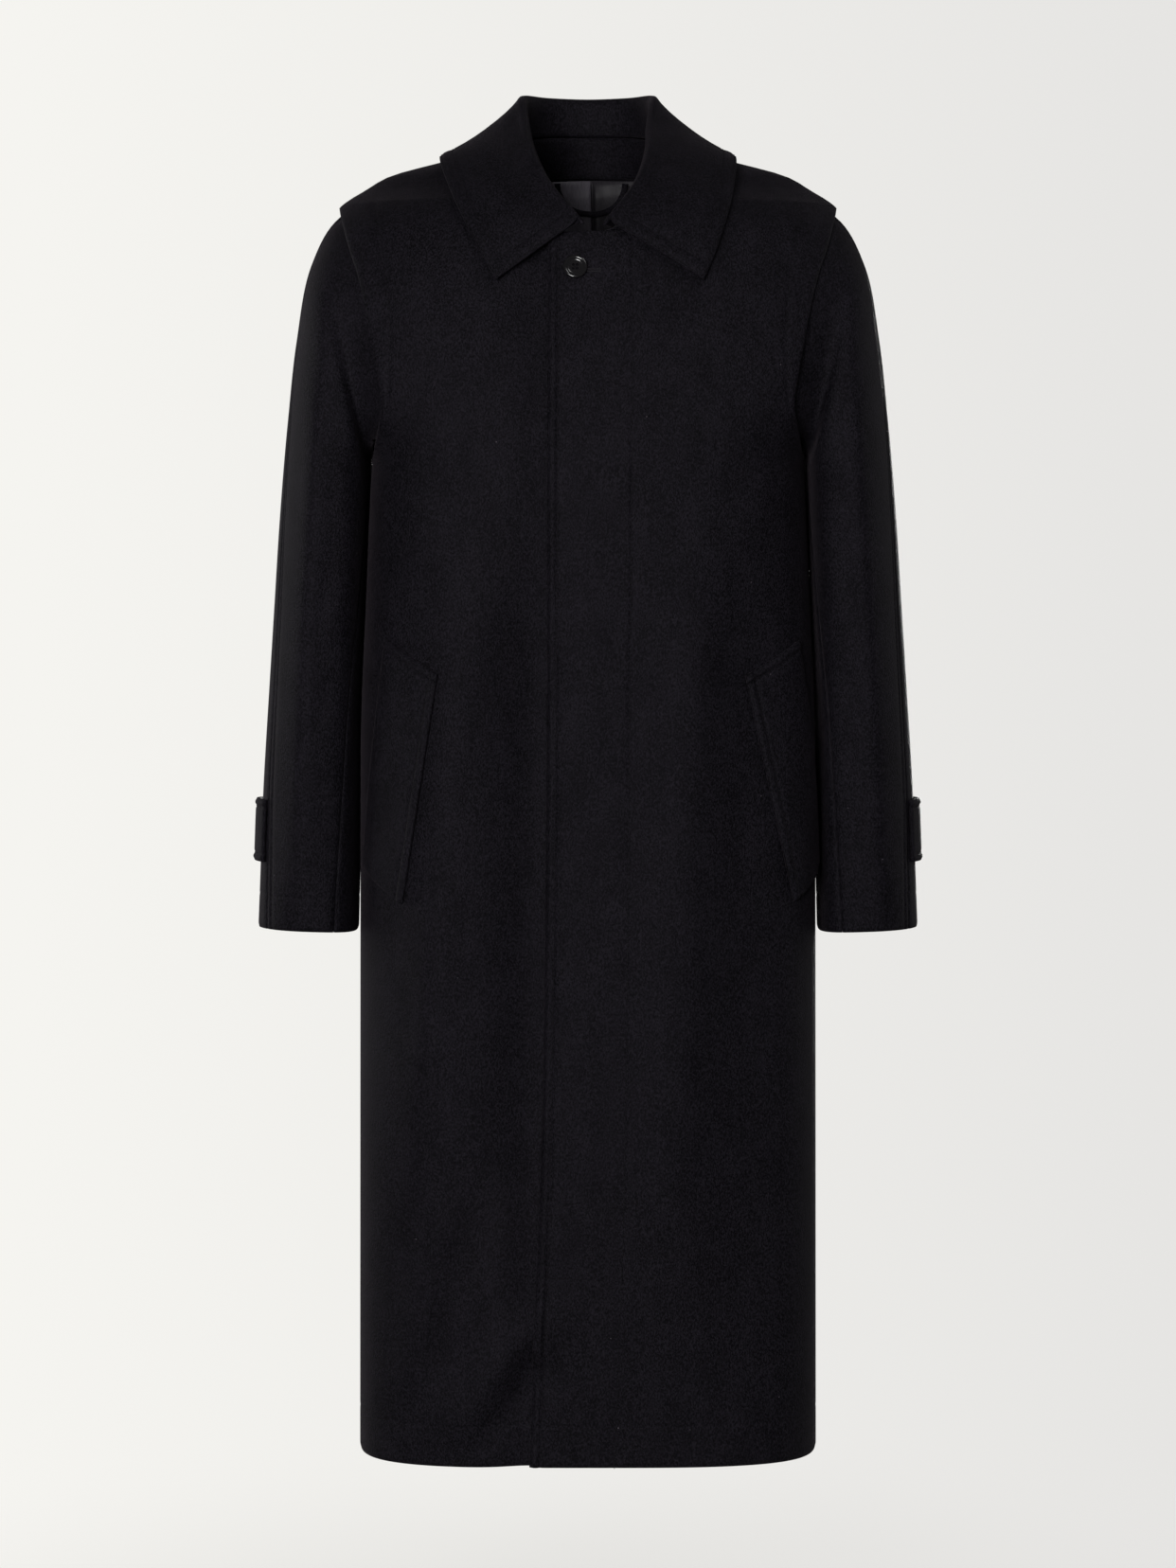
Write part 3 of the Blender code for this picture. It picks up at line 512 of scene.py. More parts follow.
def lengths_along(points, axis):
    """Distance along every line of a net from the line's first point."""
    steps = np.linalg.norm(np.diff(points, axis=axis), axis=-1)
    return np.insert(np.cumsum(steps, axis=axis), 0, 0.0, axis=axis)


def reaches(points):
    """Distance along the cloth from every point to each of the four edges of its net."""
    across, down = lengths_along(points, 1), lengths_along(points, 0)
    return {"first": across, "last": across[:, -1:] - across, "top": down, "foot": down[-1:] - down}


# %% Relief of edges and sewing
EDGE_ROLL = 0.0008        # face rolls in by this at an edge
ROLL_REACH = 0.0018
STITCH_DIP = 0.0010       # thread draws the cloth in by this
DIP_HALF = 0.0016
PUFF = 0.0008             # cloth between an edge and its stitching stands out by this
PUFF_HALF = 0.38          # share of the distance between them


def relief(reach, rolled=(), sewn=(), puffed=()):
    """How far the face lies out of the form: in at edges and stitches, out between them."""
    out = np.zeros(reach["first"].shape)
    for edge in rolled:
        out = out - EDGE_ROLL * bell(reach[edge] / ROLL_REACH)
    for edge, distance in sewn:
        out = out - STITCH_DIP * bell((reach[edge] - distance) / DIP_HALF)
    for edge, distance in puffed:
        out = out + PUFF * bell((reach[edge] - 0.5 * distance) / (PUFF_HALF * distance))
    return out


# %% [markdown]
# ## Sewing
# Topstitching is a row of short threads that rise from the cloth and dive back into it. Each
# stitch is a little bent tube; a whole row is one joined mesh, worked out from arrays, because a
# coat has thousands of them.

# %% Find a line of sewing on a net
def sewn_line(points, out, reach, edge, distance, clear=0.0):
    """Points and outward directions of a line at one distance from an edge, clear of the side edges."""
    upright = edge in ("first", "last")
    others = ("top", "foot") if upright else ("first", "last")
    side = np.minimum(reach[others[0]], reach[others[1]])
    nets = [reach[edge][..., None], points, out, side[..., None]]
    if not upright:
        nets = [net.swapaxes(0, 1) for net in nets]
    if edge in ("last", "foot"):
        nets = [net[:, ::-1] for net in nets]
    line = []
    for lengths, row, away, beside in zip(*nets):
        values = (*row.T, *away.T, beside[:, 0])
        at = [np.interp(distance, lengths[:, 0], value) for value in values]
        if at[6] >= clear and lengths[-1, 0] > distance:
            line.append(at[:6])
    line = np.array(line)
    return line[:, :3], line[:, 3:]


# %% Turn lines into stitches
STITCH_PITCH = 0.0042
STITCH_LENGTH = 0.0034
THREAD_RADIUS = 0.00042   # real thread is about half of this; drawn thicker, so that it shows
STITCH_STATIONS = (       # place along the stitch, thickness, rise
    (-0.5, 0.50, -0.55), (-0.28, 0.95, 0.25), (0.0, 1.0, 0.45), (0.28, 0.95, 0.25), (0.5, 0.50, -0.55),
)
THREAD_SIDES = 5


def stitch_places(line, away, pitch):
    """Centres, directions along and directions out, a pitch apart on a line."""
    lengths = lengths_along(line, 0)
    centres = np.arange(0.5 * pitch, lengths[-1], pitch)

    def at(values, where):
        return np.stack([np.interp(where, lengths, values[:, k]) for k in range(3)], 1)

    along = at(line, centres + 0.4 * pitch) - at(line, centres - 0.4 * pitch)
    along = along / np.linalg.norm(along, axis=1, keepdims=True)
    out = at(away, centres)
    out = out - along * (out * along).sum(1, keepdims=True)
    return at(line, centres), along, out / np.linalg.norm(out, axis=1, keepdims=True)


def tube_faces(rings, sides):
    """Walls of a tube through several rings of points, and its two ends."""
    k = np.arange(sides)
    step = (k + 1) % sides
    walls = [np.stack([k, step, step + sides, k + sides], 1) + r * sides for r in range(rings - 1)]
    return np.concatenate(walls), np.array([k[::-1], k + (rings - 1) * sides])


def stitches(centres, along, out, length=STITCH_LENGTH, radius=THREAD_RADIUS):
    """Points and faces of one short bent thread at every centre."""
    side = np.cross(along, out)
    turn = np.linspace(0.0, 2 * math.pi, THREAD_SIDES, endpoint=False)
    rings = []
    for place, thick, rise in STITCH_STATIONS:
        middle = centres + along * place * length + out * rise * radius
        ring = middle[:, None] + thick * radius * (
            out[:, None] * np.cos(turn)[:, None] + side[:, None] * np.sin(turn)[:, None]
        )
        rings.append(ring)
    points = np.stack(rings, 1)
    tube, ends = tube_faces(len(STITCH_STATIONS), THREAD_SIDES)
    start = np.arange(len(centres)) * len(STITCH_STATIONS) * THREAD_SIDES
    faces = (tube[None] + start[:, None, None]).reshape(-1, 4).tolist()
    faces += (ends[None] + start[:, None, None]).reshape(-1, THREAD_SIDES).tolist()
    return points.reshape(-1, 3), faces


def sew(name, lines):
    """One joined piece of stitching along several lines."""
    places = zip(*[stitch_places(*line, STITCH_PITCH) for line in lines])
    places = [np.concatenate(part) for part in places]
    piece = add_piece(name, *stitches(*places), THREAD)
    print(name, "stitches:", len(places[0]))


# %% [markdown]
# ## Fronts and back
# The two fronts lap: the left one lies over the right and hides the fly. A front starts at its
# lapped edge or neckline and ends at the shoulder seam, at the free edge that overhangs the
# sleeve, or at the side seam. Its columns keep to the run of the edge, so that a line of sewing
# stays on them from the neck to the hem.

# %% Lines that bound the panels
NECK_FRONT = -0.0885      # lowest visible point of the neckline
NECK_CORNER = -0.0905     # top of the lapped front edges
SHOULDER_TIP = -0.0576    # overhanging edge crosses the shoulder seam
UNDERARM = -0.291
HEM = -1.1695
NECK_RISE = 0.021         # nape above the shoulder neck point
NECKLINE = (              # height, x
    (0.0, 0.0775), (-0.012, 0.0760), (-0.035, 0.0680),
    (-0.060, 0.0550), (-0.080, 0.0340), (-0.0885, 0.0120),
)
FRONT_EDGES = (           # height, x of the over front's edge, x of the under front's edge
    (-0.0905, -0.0350, 0.0370), (-0.560, -0.0370, 0.0350),
    (-0.860, -0.0405, 0.0315), (-1.1695, -0.0510, 0.0210),
)
ARMHOLE = (               # height, x of the overhanging edge
    (-0.0576, 0.2258), (-0.103, 0.2122), (-0.125, 0.2045), (-0.1505, 0.1980), (-0.189, 0.1904),
    (-0.213, 0.1859), (-0.243, 0.1822), (-0.262, 0.1858), (-0.276, 0.1900), (-0.291, 0.1952),
)
SEAM_GAP = 0.0005         # left between two pieces that are sewn together
neck_x, = curves(NECKLINE)
over_edge_x, under_edge_x = curves(FRONT_EDGES)
armhole_x, = curves(ARMHOLE)


def panel_edge(z, depth):
    """Bearing at which a panel ends: shoulder seam, overhanging armhole edge or side seam."""
    seam = math.pi / 2 - 0.5 * SEAM_GAP / depth(z)
    free = bearing_at(armhole_x(z), z)
    inside = (z < SHOULDER_TIP) & (z > UNDERARM)
    return np.where(inside, np.minimum(free, seam), seam)


# %% Nets of the panels
KNEE = 0.150              # distance of the knee from the centre line, along the cloth
KNEE_LEAST, KNEE_MOST = 0.60, 0.75  # share of a row that lies before the knee
EDGE_STITCH = 0.0090      # from the lapped edge
FLY_STITCH = 0.0740       # sews the hidden button strip on
HEM_STITCH = 0.0360       # turned-up hem
INNER_SPAN = 0.186        # usual length from the lapped edge to the knee
OUTER_SPAN = 0.100        # and from there to the side seam
FREE_EDGE = 0.090         # along the outer span, where the overhanging edge needs a finer net
TOP_ROW = -0.002          # uppermost row, just below the shoulder neck point
INNER = spread(INNER_SPAN, 0.0050, (0.0, EDGE_STITCH, FLY_STITCH)) / INNER_SPAN
OUTER = spread(OUTER_SPAN, 0.0040, (FREE_EDGE, OUTER_SPAN), reach=0.012, fine=0.0020) / OUTER_SPAN
UPPER_ROWS = TOP_ROW - spread(TOP_ROW - NECK_FRONT, 0.0045, (TOP_ROW - SHOULDER_TIP,), reach=0.003)
panel_drop = NECK_CORNER - HEM
LOWER_ROWS = NECK_CORNER - spread(
    panel_drop, 0.0060, (NECK_CORNER - UNDERARM, panel_drop - HEM_STITCH, panel_drop), fine=0.0013,
)
PANEL_ROWS = np.concatenate([UPPER_ROWS, LOWER_ROWS])
TURN_STATIONS = 721       # from one side seam to the other


def panel_bearings(z, side, back, start, end, inner):
    """Bearings of a panel's rows. Up to the knee its columns hang straight, past it they close up."""
    turn = np.linspace(-math.pi / 2, math.pi / 2, TURN_STATIONS)
    points = body(math.pi - side * turn if back else side * turn, z[:, None])
    length = lengths_along(points, 1)
    length = length - length[:, TURN_STATIONS // 2, None]
    rows = []
    for row, begin, stop in zip(length, start, end):
        first, last = np.interp([begin, stop], turn, row)
        knee = max(KNEE, first + KNEE_LEAST * (last - first))
        knee = min(knee, first + KNEE_MOST * (last - first))
        lengths = np.concatenate([first + (knee - first) * inner, knee + (last - knee) * OUTER[1:]])
        rows.append(np.interp(lengths, row, turn))
    return np.array(rows)


# %% The lapped fronts
FRONT_LAP_GAP = 0.0016    # left between the lapped fronts
LAP_BLEND = 0.060         # width over which the under front sinks below the over front
LAP_FLAT = 0.004          # it has sunk all the way this far before the lapped edge
EDGE_HOLLOW = 0.0050      # and it dips once more towards the lapped edge
HOLLOW_HALF = 0.0220
FLY_WALL = 0.0030         # strip that is sewn behind the lapped edge and holds the hidden buttons
FLY_START = 0.100         # below the neck corner
LAPPED_ROLL = 0.0014      # lapped edge rolls in by this more than other edges
LAPPED_REACH = 0.0028
HEM_SHOW = 0.30           # a turned-up hem shows this much of a full stitching dip


def under_sink(x, z):
    """How far the under front lies below the face, to pass under the over front."""
    beside = x - over_edge_x(z)
    lap = (CLOTH + FRONT_LAP_GAP) * smoothstep((beside + LAP_BLEND) / (LAP_BLEND - LAP_FLAT))
    return lap + EDGE_HOLLOW * bell(beside / HOLLOW_HALF)


def front_net(side):
    """Points, outward directions and edge distances of one front."""
    z = PANEL_ROWS
    lapped = over_edge_x(z) if side > 0 else -under_edge_x(z)
    start_x = np.where(z > NECK_CORNER + 1e-6, neck_x(np.maximum(z, NECK_FRONT)), lapped)
    start, end = bearing_at(start_x, z), panel_edge(z, front_depth)
    turns = panel_bearings(z, side, False, start, end, INNER)
    bearing, heights = np.broadcast_arrays(side * turns, z[:, None])
    points, out = body(bearing, heights), normals(body, bearing, heights)
    sink = under_sink(points[..., 0], heights) if side < 0 else np.zeros(heights.shape)
    return points - sink[..., None] * out, out, reaches(points)


# %% The line that sews the overhanging shoulder edge down
FLANGE_STITCH = (         # height, x
    (-0.062, 0.1915), (-0.096, 0.1852), (-0.131, 0.1786), (-0.159, 0.1755),
    (-0.187, 0.1743), (-0.215, 0.1748), (-0.247, 0.1778),
)
FLANGE_TOP, FLANGE_FOOT = FLANGE_STITCH[0][0], FLANGE_STITCH[-1][0]
FLANGE_FADE = 0.010       # height over which its dip fades at both ends
FLANGE_HALF = 0.0020
flange_x, = curves(FLANGE_STITCH)


def flange_dip(points):
    """How the cloth dips along that line."""
    x, z = np.abs(points[..., 0]), points[..., 2]
    shown = smoothstep((FLANGE_TOP - z) / FLANGE_FADE + 1) * smoothstep((z - FLANGE_FOOT) / FLANGE_FADE)
    beside = x - flange_x(np.clip(z, FLANGE_FOOT, FLANGE_TOP))
    return -STITCH_DIP * bell(beside / FLANGE_HALF) * shown


# %% Build the fronts
below_neck = len(UPPER_ROWS)
front_faces = {}
for side, hand in ((1, "left"), (-1, "right")):
    points, out, reach = front_net(side)
    sewn = [("first", EDGE_STITCH), ("first", FLY_STITCH)] if side > 0 else []
    puffed = [("first", EDGE_STITCH)] if side > 0 else []
    rise = relief(reach, ("first", "last", "foot")) + flange_dip(points)
    rise = rise + HEM_SHOW * relief(reach, (), [("foot", HEM_STITCH)])
    if side > 0:
        rise = rise - LAPPED_ROLL * bell(reach["first"] / LAPPED_REACH)
    lower = {edge: distances[below_neck:] for edge, distances in reach.items()}
    rise[below_neck:] += relief(lower, (), sewn, puffed)
    face = points + rise[..., None] * out
    wall = np.full(reach["first"].shape, CLOTH)
    if side > 0:
        strip = smoothstep((HOLLOW_HALF - reach["first"]) / (0.5 * HOLLOW_HALF))
        strip = strip * smoothstep(reach["top"] / FLY_START - 1.0)
        wall[below_neck:] += FLY_WALL * strip[below_neck:]
    piece = dress(f"front_{hand}", face, points - wall[..., None] * out)
    front_faces[hand] = (piece, face, out, reach)

# %% The back
BACK_SPAN = 0.150         # usual length from the centre back to the knee
NAPE_START = -0.060       # the neck's rise to the nape starts at this height
NAPE_POWER = 2.5          # and falls off towards the shoulders


def back_net(z):
    """Bearings and heights across the back; the uppermost rows rise to the nape."""
    end = panel_edge(z, back_depth)
    inner = spread(BACK_SPAN, 0.0060) / BACK_SPAN
    halves = panel_bearings(z, 1, True, np.zeros(len(z)), end, inner)
    turn = np.concatenate([-halves[:, :0:-1], halves], axis=1)
    share = turn / halves[:, -1:]
    lift = NECK_RISE * (1 - np.abs(share) ** NAPE_POWER)
    rise = np.clip((z - NAPE_START) / (TOP_ROW - NAPE_START), 0.0, 1.0)
    return math.pi - turn, z[:, None] + rise[:, None] * lift


bearing, heights = back_net(PANEL_ROWS)
points, out = body(bearing, heights), normals(body, bearing, heights)
reach = reaches(points)
rise = relief(reach, ("first", "last", "foot")) + HEM_SHOW * relief(reach, (), [("foot", HEM_STITCH)])
rise = rise + flange_dip(points)
back_piece = dress("back", points + rise[..., None] * out, points - CLOTH * out)

# %% [markdown]
# ## Sleeves
# Each sleeve has a front and a back half, joined by an outer and an inner seam. Its head is set
# in under the overhanging shoulder edge, so the sleeve seems to come out of a slot. The rings
# below the armhole are rounded sections, each given by its outer and its inner point.

# %% Rings of the left sleeve
SLEEVE_HEAD = (           # turn round the sleeve, bearing round the body, height
    (0, 90.0, -0.0387), (15, 76.0, -0.0440), (30, 57.5, -0.0600),
    (60, 41.4, -0.1100), (90, 38.0, -0.1650), (120, 41.0, -0.2220),
    (140, 46.6, -0.2550), (160, 63.0, -0.2745), (180, 90.0, -0.2830),
)
SLEEVE_TUCK = 0.0052      # sleeve head lies this far inside the panel's face
SLEEVE_SEAT = 0.0025      # and comes this much nearer at the middle of the armhole
# Each row: length down, outer x and z, inner x and z, depth of the front and of the back, turns of
# the outer and the inner seam.
SLEEVE = (
    (0.048, 0.2326, -0.0740, 0.1972, -0.2835, 0.075, 0.081, 12.0, 176.0),
    (0.087, 0.2498, -0.1080, 0.1973, -0.3000, 0.080, 0.084, 16.0, 170.0),
    (0.157, 0.2636, -0.1770, 0.1979, -0.3220, 0.080, 0.083, 21.0, 163.0),
    (0.226, 0.2713, -0.2460, 0.1990, -0.3520, 0.078, 0.081, 27.0, 157.0),
    (0.329, 0.2799, -0.3490, 0.2013, -0.4050, 0.073, 0.076, 32.0, 149.0),
    (0.399, 0.2842, -0.4180, 0.2033, -0.4500, 0.069, 0.072, 34.0, 143.0),
    (0.468, 0.2885, -0.4870, 0.2055, -0.5050, 0.066, 0.068, 35.0, 137.0),
    (0.571, 0.2946, -0.5900, 0.2065, -0.6000, 0.060, 0.062, 36.0, 129.0),
    (0.640, 0.2971, -0.6590, 0.2075, -0.6630, 0.057, 0.058, 38.0, 125.0),
    (0.689, 0.2989, -0.7078, 0.2086, -0.7112, 0.055, 0.056, 40.0, 123.0),
)
SLEEVE_SQUARENESS = 2.15
SLEEVE_INNER_SQUARENESS = 3.00      # flatter where the sleeve lies along the body
CUFF = 0.689              # length of the sleeve down its outer line
head_bearing, head_height = curves(SLEEVE_HEAD)
outer_seam, inner_seam = curves(SLEEVE)[-2:]
sleeve_down = np.array([row[0] for row in SLEEVE])


def sleeve_head(turn):
    """Loop on which the sleeve is set in, tucked under the panels."""
    degrees = np.degrees(np.abs(np.arctan2(np.sin(turn), np.cos(turn))))
    bearing = np.radians(head_bearing(degrees))
    bearing = np.where(np.sin(turn) >= 0, bearing, math.pi - bearing)
    return raised(body, bearing, head_height(degrees), -SLEEVE_TUCK + SLEEVE_SEAT * np.sin(turn) ** 4)


def sleeve(turn, down):
    """Face of the left sleeve: turn from its outer line round by the front, length down that line."""
    turn, down = np.broadcast_arrays(np.asarray(turn, float), np.asarray(down, float))
    form = turn.shape + (3,)
    turn, down = turn.reshape(-1), down.reshape(-1)
    sine, cosine = np.sin(turn), np.cos(turn)
    n = np.where(cosine < 0, SLEEVE_INNER_SQUARENESS, SLEEVE_SQUARENESS)
    scale = (np.abs(sine) ** n + np.abs(cosine) ** n) ** (-1 / n)
    rings = [sleeve_head(turn)]
    for _, outer_x, outer_z, inner_x, inner_z, front, back, _, _ in SLEEVE:
        x = (outer_x + inner_x) / 2 + (outer_x - inner_x) / 2 * scale * cosine
        z = (outer_z + inner_z) / 2 + (outer_z - inner_z) / 2 * scale * cosine
        y = -np.where(sine > 0, front, back) * scale * sine
        rings.append(np.stack([x, y, z], -1))
    stations = np.concatenate([[0.0], sleeve_down])
    return through(stations, np.array(rings), loose=True, each=True)(down).reshape(form)


# %% Creases of the sleeves
# Each row: hand (1 is the left), turn in degrees and length down of the top and of the foot, half
# width, height.
SLEEVE_CREASES = (
    (-1, 84, 0.190, 88, 0.660, 0.0190, 0.0050),
    (1, 92, 0.180, 86, 0.660, 0.0200, 0.0040),
    (-1, 112, 0.300, 92, 0.420, 0.0100, -0.0012),
    (1, 116, 0.280, 96, 0.395, 0.0100, -0.0012),
    (-1, 130, 0.140, 100, 0.250, 0.0120, -0.0012),
    (1, 128, 0.150, 104, 0.260, 0.0120, -0.0011),
    (-1, 120, 0.440, 88, 0.520, 0.0090, -0.0009),
    (1, 124, 0.430, 92, 0.500, 0.0090, -0.0010),
    (-1, 262, 0.300, 300, 0.400, 0.0120, -0.0016),
    (1, 256, 0.330, 296, 0.420, 0.0120, -0.0016),
    (-1, 250, 0.420, 290, 0.470, 0.0090, -0.0012),
    (1, 264, 0.250, 298, 0.320, 0.0110, -0.0013),
    (-1, 290, 0.120, 286, 0.560, 0.0200, 0.0018),
    (1, 292, 0.160, 288, 0.600, 0.0200, 0.0018),
)
SLEEVE_RADIUS = 0.058     # turns a bearing into a length round the sleeve
HEAD_CLEAR = 0.120        # creases fade out over this length below the sleeve head


def sleeve_rise(turn, down, hand):
    """How far the creases of one sleeve lift its cloth."""
    rise = np.zeros(turn.shape)
    for side, top_turn, top_down, foot_turn, foot_down, half, height in SLEEVE_CREASES:
        if side == hand:
            round_it = (turn - math.radians(top_turn)) * SLEEVE_RADIUS
            run = (math.radians(foot_turn - top_turn) * SLEEVE_RADIUS, foot_down - top_down)
            rise = rise + ridge(round_it, down - top_down, run, half, height)
    return rise * smoothstep(down / HEAD_CLEAR)


# %% Halves of the sleeves
SEAM_STITCHES = (0.0016, 0.0078)    # double topstitching beside the outer seam
CUFF_STITCH = 0.0300
SLEEVE_ROWS = spread(CUFF, 0.0060, (CUFF - CUFF_STITCH, CUFF), fine=0.0013)
FRONT_SPAN, BACK_HALF_SPAN = 0.140, 0.210    # usual lengths across the two halves
HALF_COLUMNS = {
    "front": spread(FRONT_SPAN, 0.0045, (0.0, SEAM_STITCHES[1], FRONT_SPAN)) / FRONT_SPAN,
    "back": spread(BACK_HALF_SPAN, 0.0050, (0.0, BACK_HALF_SPAN)) / BACK_HALF_SPAN,
}
CUFF_RADIUS = 0.055       # turns the seam gap into a bearing


def mirrored(points, side):
    return points * np.array([side, 1.0, 1.0])


def sleeve_net(half):
    """Turns and lengths of one half of a sleeve, between its seams."""
    first = np.radians(outer_seam(np.maximum(SLEEVE_ROWS, sleeve_down[0])))
    last = np.radians(inner_seam(np.maximum(SLEEVE_ROWS, sleeve_down[0])))
    if half == "back":
        first, last = last, first + 2 * math.pi
    gap = 0.5 * SEAM_GAP / CUFF_RADIUS
    first, last = first + gap, last - gap
    turn = first[:, None] + (last - first)[:, None] * HALF_COLUMNS[half]
    return turn, np.broadcast_to(SLEEVE_ROWS[:, None], turn.shape)


sleeve_faces = {}
for side, hand in ((1, "left"), (-1, "right")):
    for half in ("front", "back"):
        turn, down = sleeve_net(half)
        points, out = sleeve(turn, down), normals(sleeve, turn, down)
        reach = reaches(points)
        sewn = [("first", distance) for distance in SEAM_STITCHES if half == "front"]
        rise = relief(reach, ("first", "last", "foot"), sewn)
        rise = rise + HEM_SHOW * relief(reach, (), [("foot", CUFF_STITCH)])
        rise = rise + sleeve_rise(turn, down, side)
        face = mirrored(points + rise[..., None] * out, side)
        piece = dress(f"sleeve_{hand}_{half}", face, mirrored(points - CLOTH * out, side))
        sleeve_faces[hand, half] = (piece, face, mirrored(out, side), reach)

# %% [markdown]
# ## Collar
# The collar is two layers of wool. It stands up from the neck seam, rolls over and falls on the
# shoulders. Its section at each place round the neck is drawn by the seam, the roll and the edge.

# %% Sections of the collar, from the centre back to the front end
# Each row: place along the collar, bearing and z of the neck seam (0 is on the front's neckline),
# x, y and z of the roll, side, x and z of the edge, and how far the edge is shifted to the left.
COLLAR_WALL = 0.0034
COLLAR = (
    (0.00, 180.0, 0.0200, 0.0000, 0.0880, 0.0570, 1, 0.0000, -0.0250, 0.000),
    (0.15, 152.0, 0.0188, 0.0365, 0.0800, 0.0570, 1, 0.0500, -0.0240, 0.000),
    (0.30, 122.0, 0.0120, 0.0585, 0.0520, 0.0545, 1, 0.0950, -0.0200, 0.000),
    (0.42, 96.0, 0.0020, 0.0615, 0.0220, 0.0460, 1, 0.1270, -0.0165, 0.000),
    (0.54, 0.0, -0.0030, 0.0583, -0.0060, 0.0220, -1, 0.1320, -0.0215, 0.000),
    (0.68, 0.0, -0.0200, 0.0538, -0.0370, -0.0050, -1, 0.1225, -0.0600, 0.004),
    (0.84, 0.0, -0.0530, 0.0405, -0.0700, -0.0400, -1, 0.1070, -0.1000, 0.008),
    (1.00, 0.0, -0.0855, 0.0138, -0.0970, -0.0770, -1, 0.0907, -0.1350, 0.0105),
)
COLLAR_FOLD = 0.0062      # half the width of the rolled fold
SEAM_LIFT = 0.0020        # foot of the collar above the neckline
SEAM_INSET = 0.0062       # and inside it
COLLAR_LIFT = 0.0085      # face of the collar edge above the panel under it
COLLAR_CLEAR = 0.0072     # least height of the collar leaf's face above the panels
COLLAR_ACROSS = np.array([0.0, 0.14, 0.26, 0.36, 0.46, 0.64, 0.82, 1.0])
NEAR_LOW, NEAR_HIGH = -0.16, 0.02   # heights of the body that the collar can lie on
near_bearing, near_z = np.meshgrid(
    np.linspace(-math.pi, math.pi, 361), np.linspace(NEAR_LOW, NEAR_HIGH, 181),
)
near_face = body(near_bearing, near_z)


def clear_of_body(point):
    """The point, pushed off the body's face where it is nearer than the clearance."""
    away = np.linalg.norm(near_face - point, axis=-1)
    nearest = np.unravel_index(np.argmin(away), away.shape)
    out = normals(body, near_bearing[nearest], near_z[nearest])
    height = float(np.dot(point - near_face[nearest], out))
    return point + max(0.0, COLLAR_CLEAR - height) * out


def collar_section(side, seam_bearing, seam_z, roll_x, roll_y, roll_z, face, edge_x, edge_z, shift):
    """Eight points from the neck seam over the roll to the edge."""
    bearing = math.radians(seam_bearing)
    if seam_bearing == 0.0:
        bearing = float(bearing_at(neck_x(seam_z), seam_z))
    seam = body(side * bearing, seam_z)
    inward = -seam * np.array([1.0, 1.0, 0.0])
    inward = inward / np.linalg.norm(inward)
    seam = seam + SEAM_INSET * inward + np.array([0.0, 0.0, SEAM_LIFT])
    edge_bearing = float(bearing_at(edge_x, edge_z))
    edge_bearing = edge_bearing if face < 0 else math.pi - edge_bearing
    edge = raised(body, side * edge_bearing, edge_z, COLLAR_LIFT) + np.array([shift, 0.0, 0.0])
    roll = np.array([side * roll_x + 0.5 * shift, roll_y, roll_z])
    away = (edge - roll) * np.array([1.0, 1.0, 0.0])
    away = away / np.linalg.norm(away)
    drop = np.array([0.0, 0.0, -COLLAR_FOLD])
    inner = roll - COLLAR_FOLD * away + drop
    outer = roll + COLLAR_FOLD * away + drop
    upper = clear_of_body(outer + (edge - outer) / 3)
    lower = clear_of_body(outer + (edge - outer) * 2 / 3)
    return [seam, 0.5 * (seam + inner), inner, roll, outer, upper, lower, edge]


halves = [(-1, row) for row in reversed(COLLAR)] + [(1, row) for row in COLLAR[1:]]
collar_along = np.array([side * row[0] for side, row in halves])
collar_points = np.array([collar_section(side, *row[1:]) for side, row in halves])


def collar(along, across):
    """Seen face of the collar: along from its right end to its left, across from seam to edge."""
    along, across = np.broadcast_arrays(np.asarray(along, float), np.asarray(across, float))
    lines = through(collar_along, collar_points, loose=True)(along.reshape(-1))
    points = through(COLLAR_ACROSS, lines.swapaxes(0, 1), loose=True, each=True)(across.reshape(-1))
    return points.reshape(along.shape + (3,))


# %% The collar and its two lines of sewing
COLLAR_STITCHES = (0.0020, 0.0130)  # edge stitching and topstitching, from the edge
COLLAR_SHOW = 0.60        # doubled cloth dips less under its stitching
ROLL_END, FALL_BLEND = 0.42, 0.10   # the stitching shows only on the fall, past the roll
COLLAR_STEP = 0.004       # slopes are taken over this share of the collar
along = spread(2.0, 0.018, (0.0, 0.036, 1.964, 2.0), reach=0.012, fine=0.003)[None, :] - 1.0
across = spread(1.0, 0.020, (0.896, 0.984), reach=0.024, fine=0.008)[:, None]
along, across = np.broadcast_arrays(along, across)
points = collar(along, across)
out = normals(collar, along, across, COLLAR_STEP, COLLAR_STEP)
reach = reaches(points)
fall = smoothstep((across - ROLL_END) / FALL_BLEND)
edges = ("first", "last", "foot")
sewn = [(edge, distance) for edge in edges for distance in COLLAR_STITCHES]
puffed = [(edge, COLLAR_STITCHES[1]) for edge in edges]
rise = relief(reach, edges) + COLLAR_SHOW * fall * relief(reach, (), sewn, puffed)
collar_face = points + rise[..., None] * out
collar_piece = dress("collar", collar_face, points - COLLAR_WALL * out)
collar_net = (collar_face, out, reach)

# %% [markdown]
# ## Inside the back neck
# Through the neck one sees a wool facing, the satin lining with its pleat, and a loop to hang the
# coat by. The lining hangs a little inside the back and its left half laps over the right one.

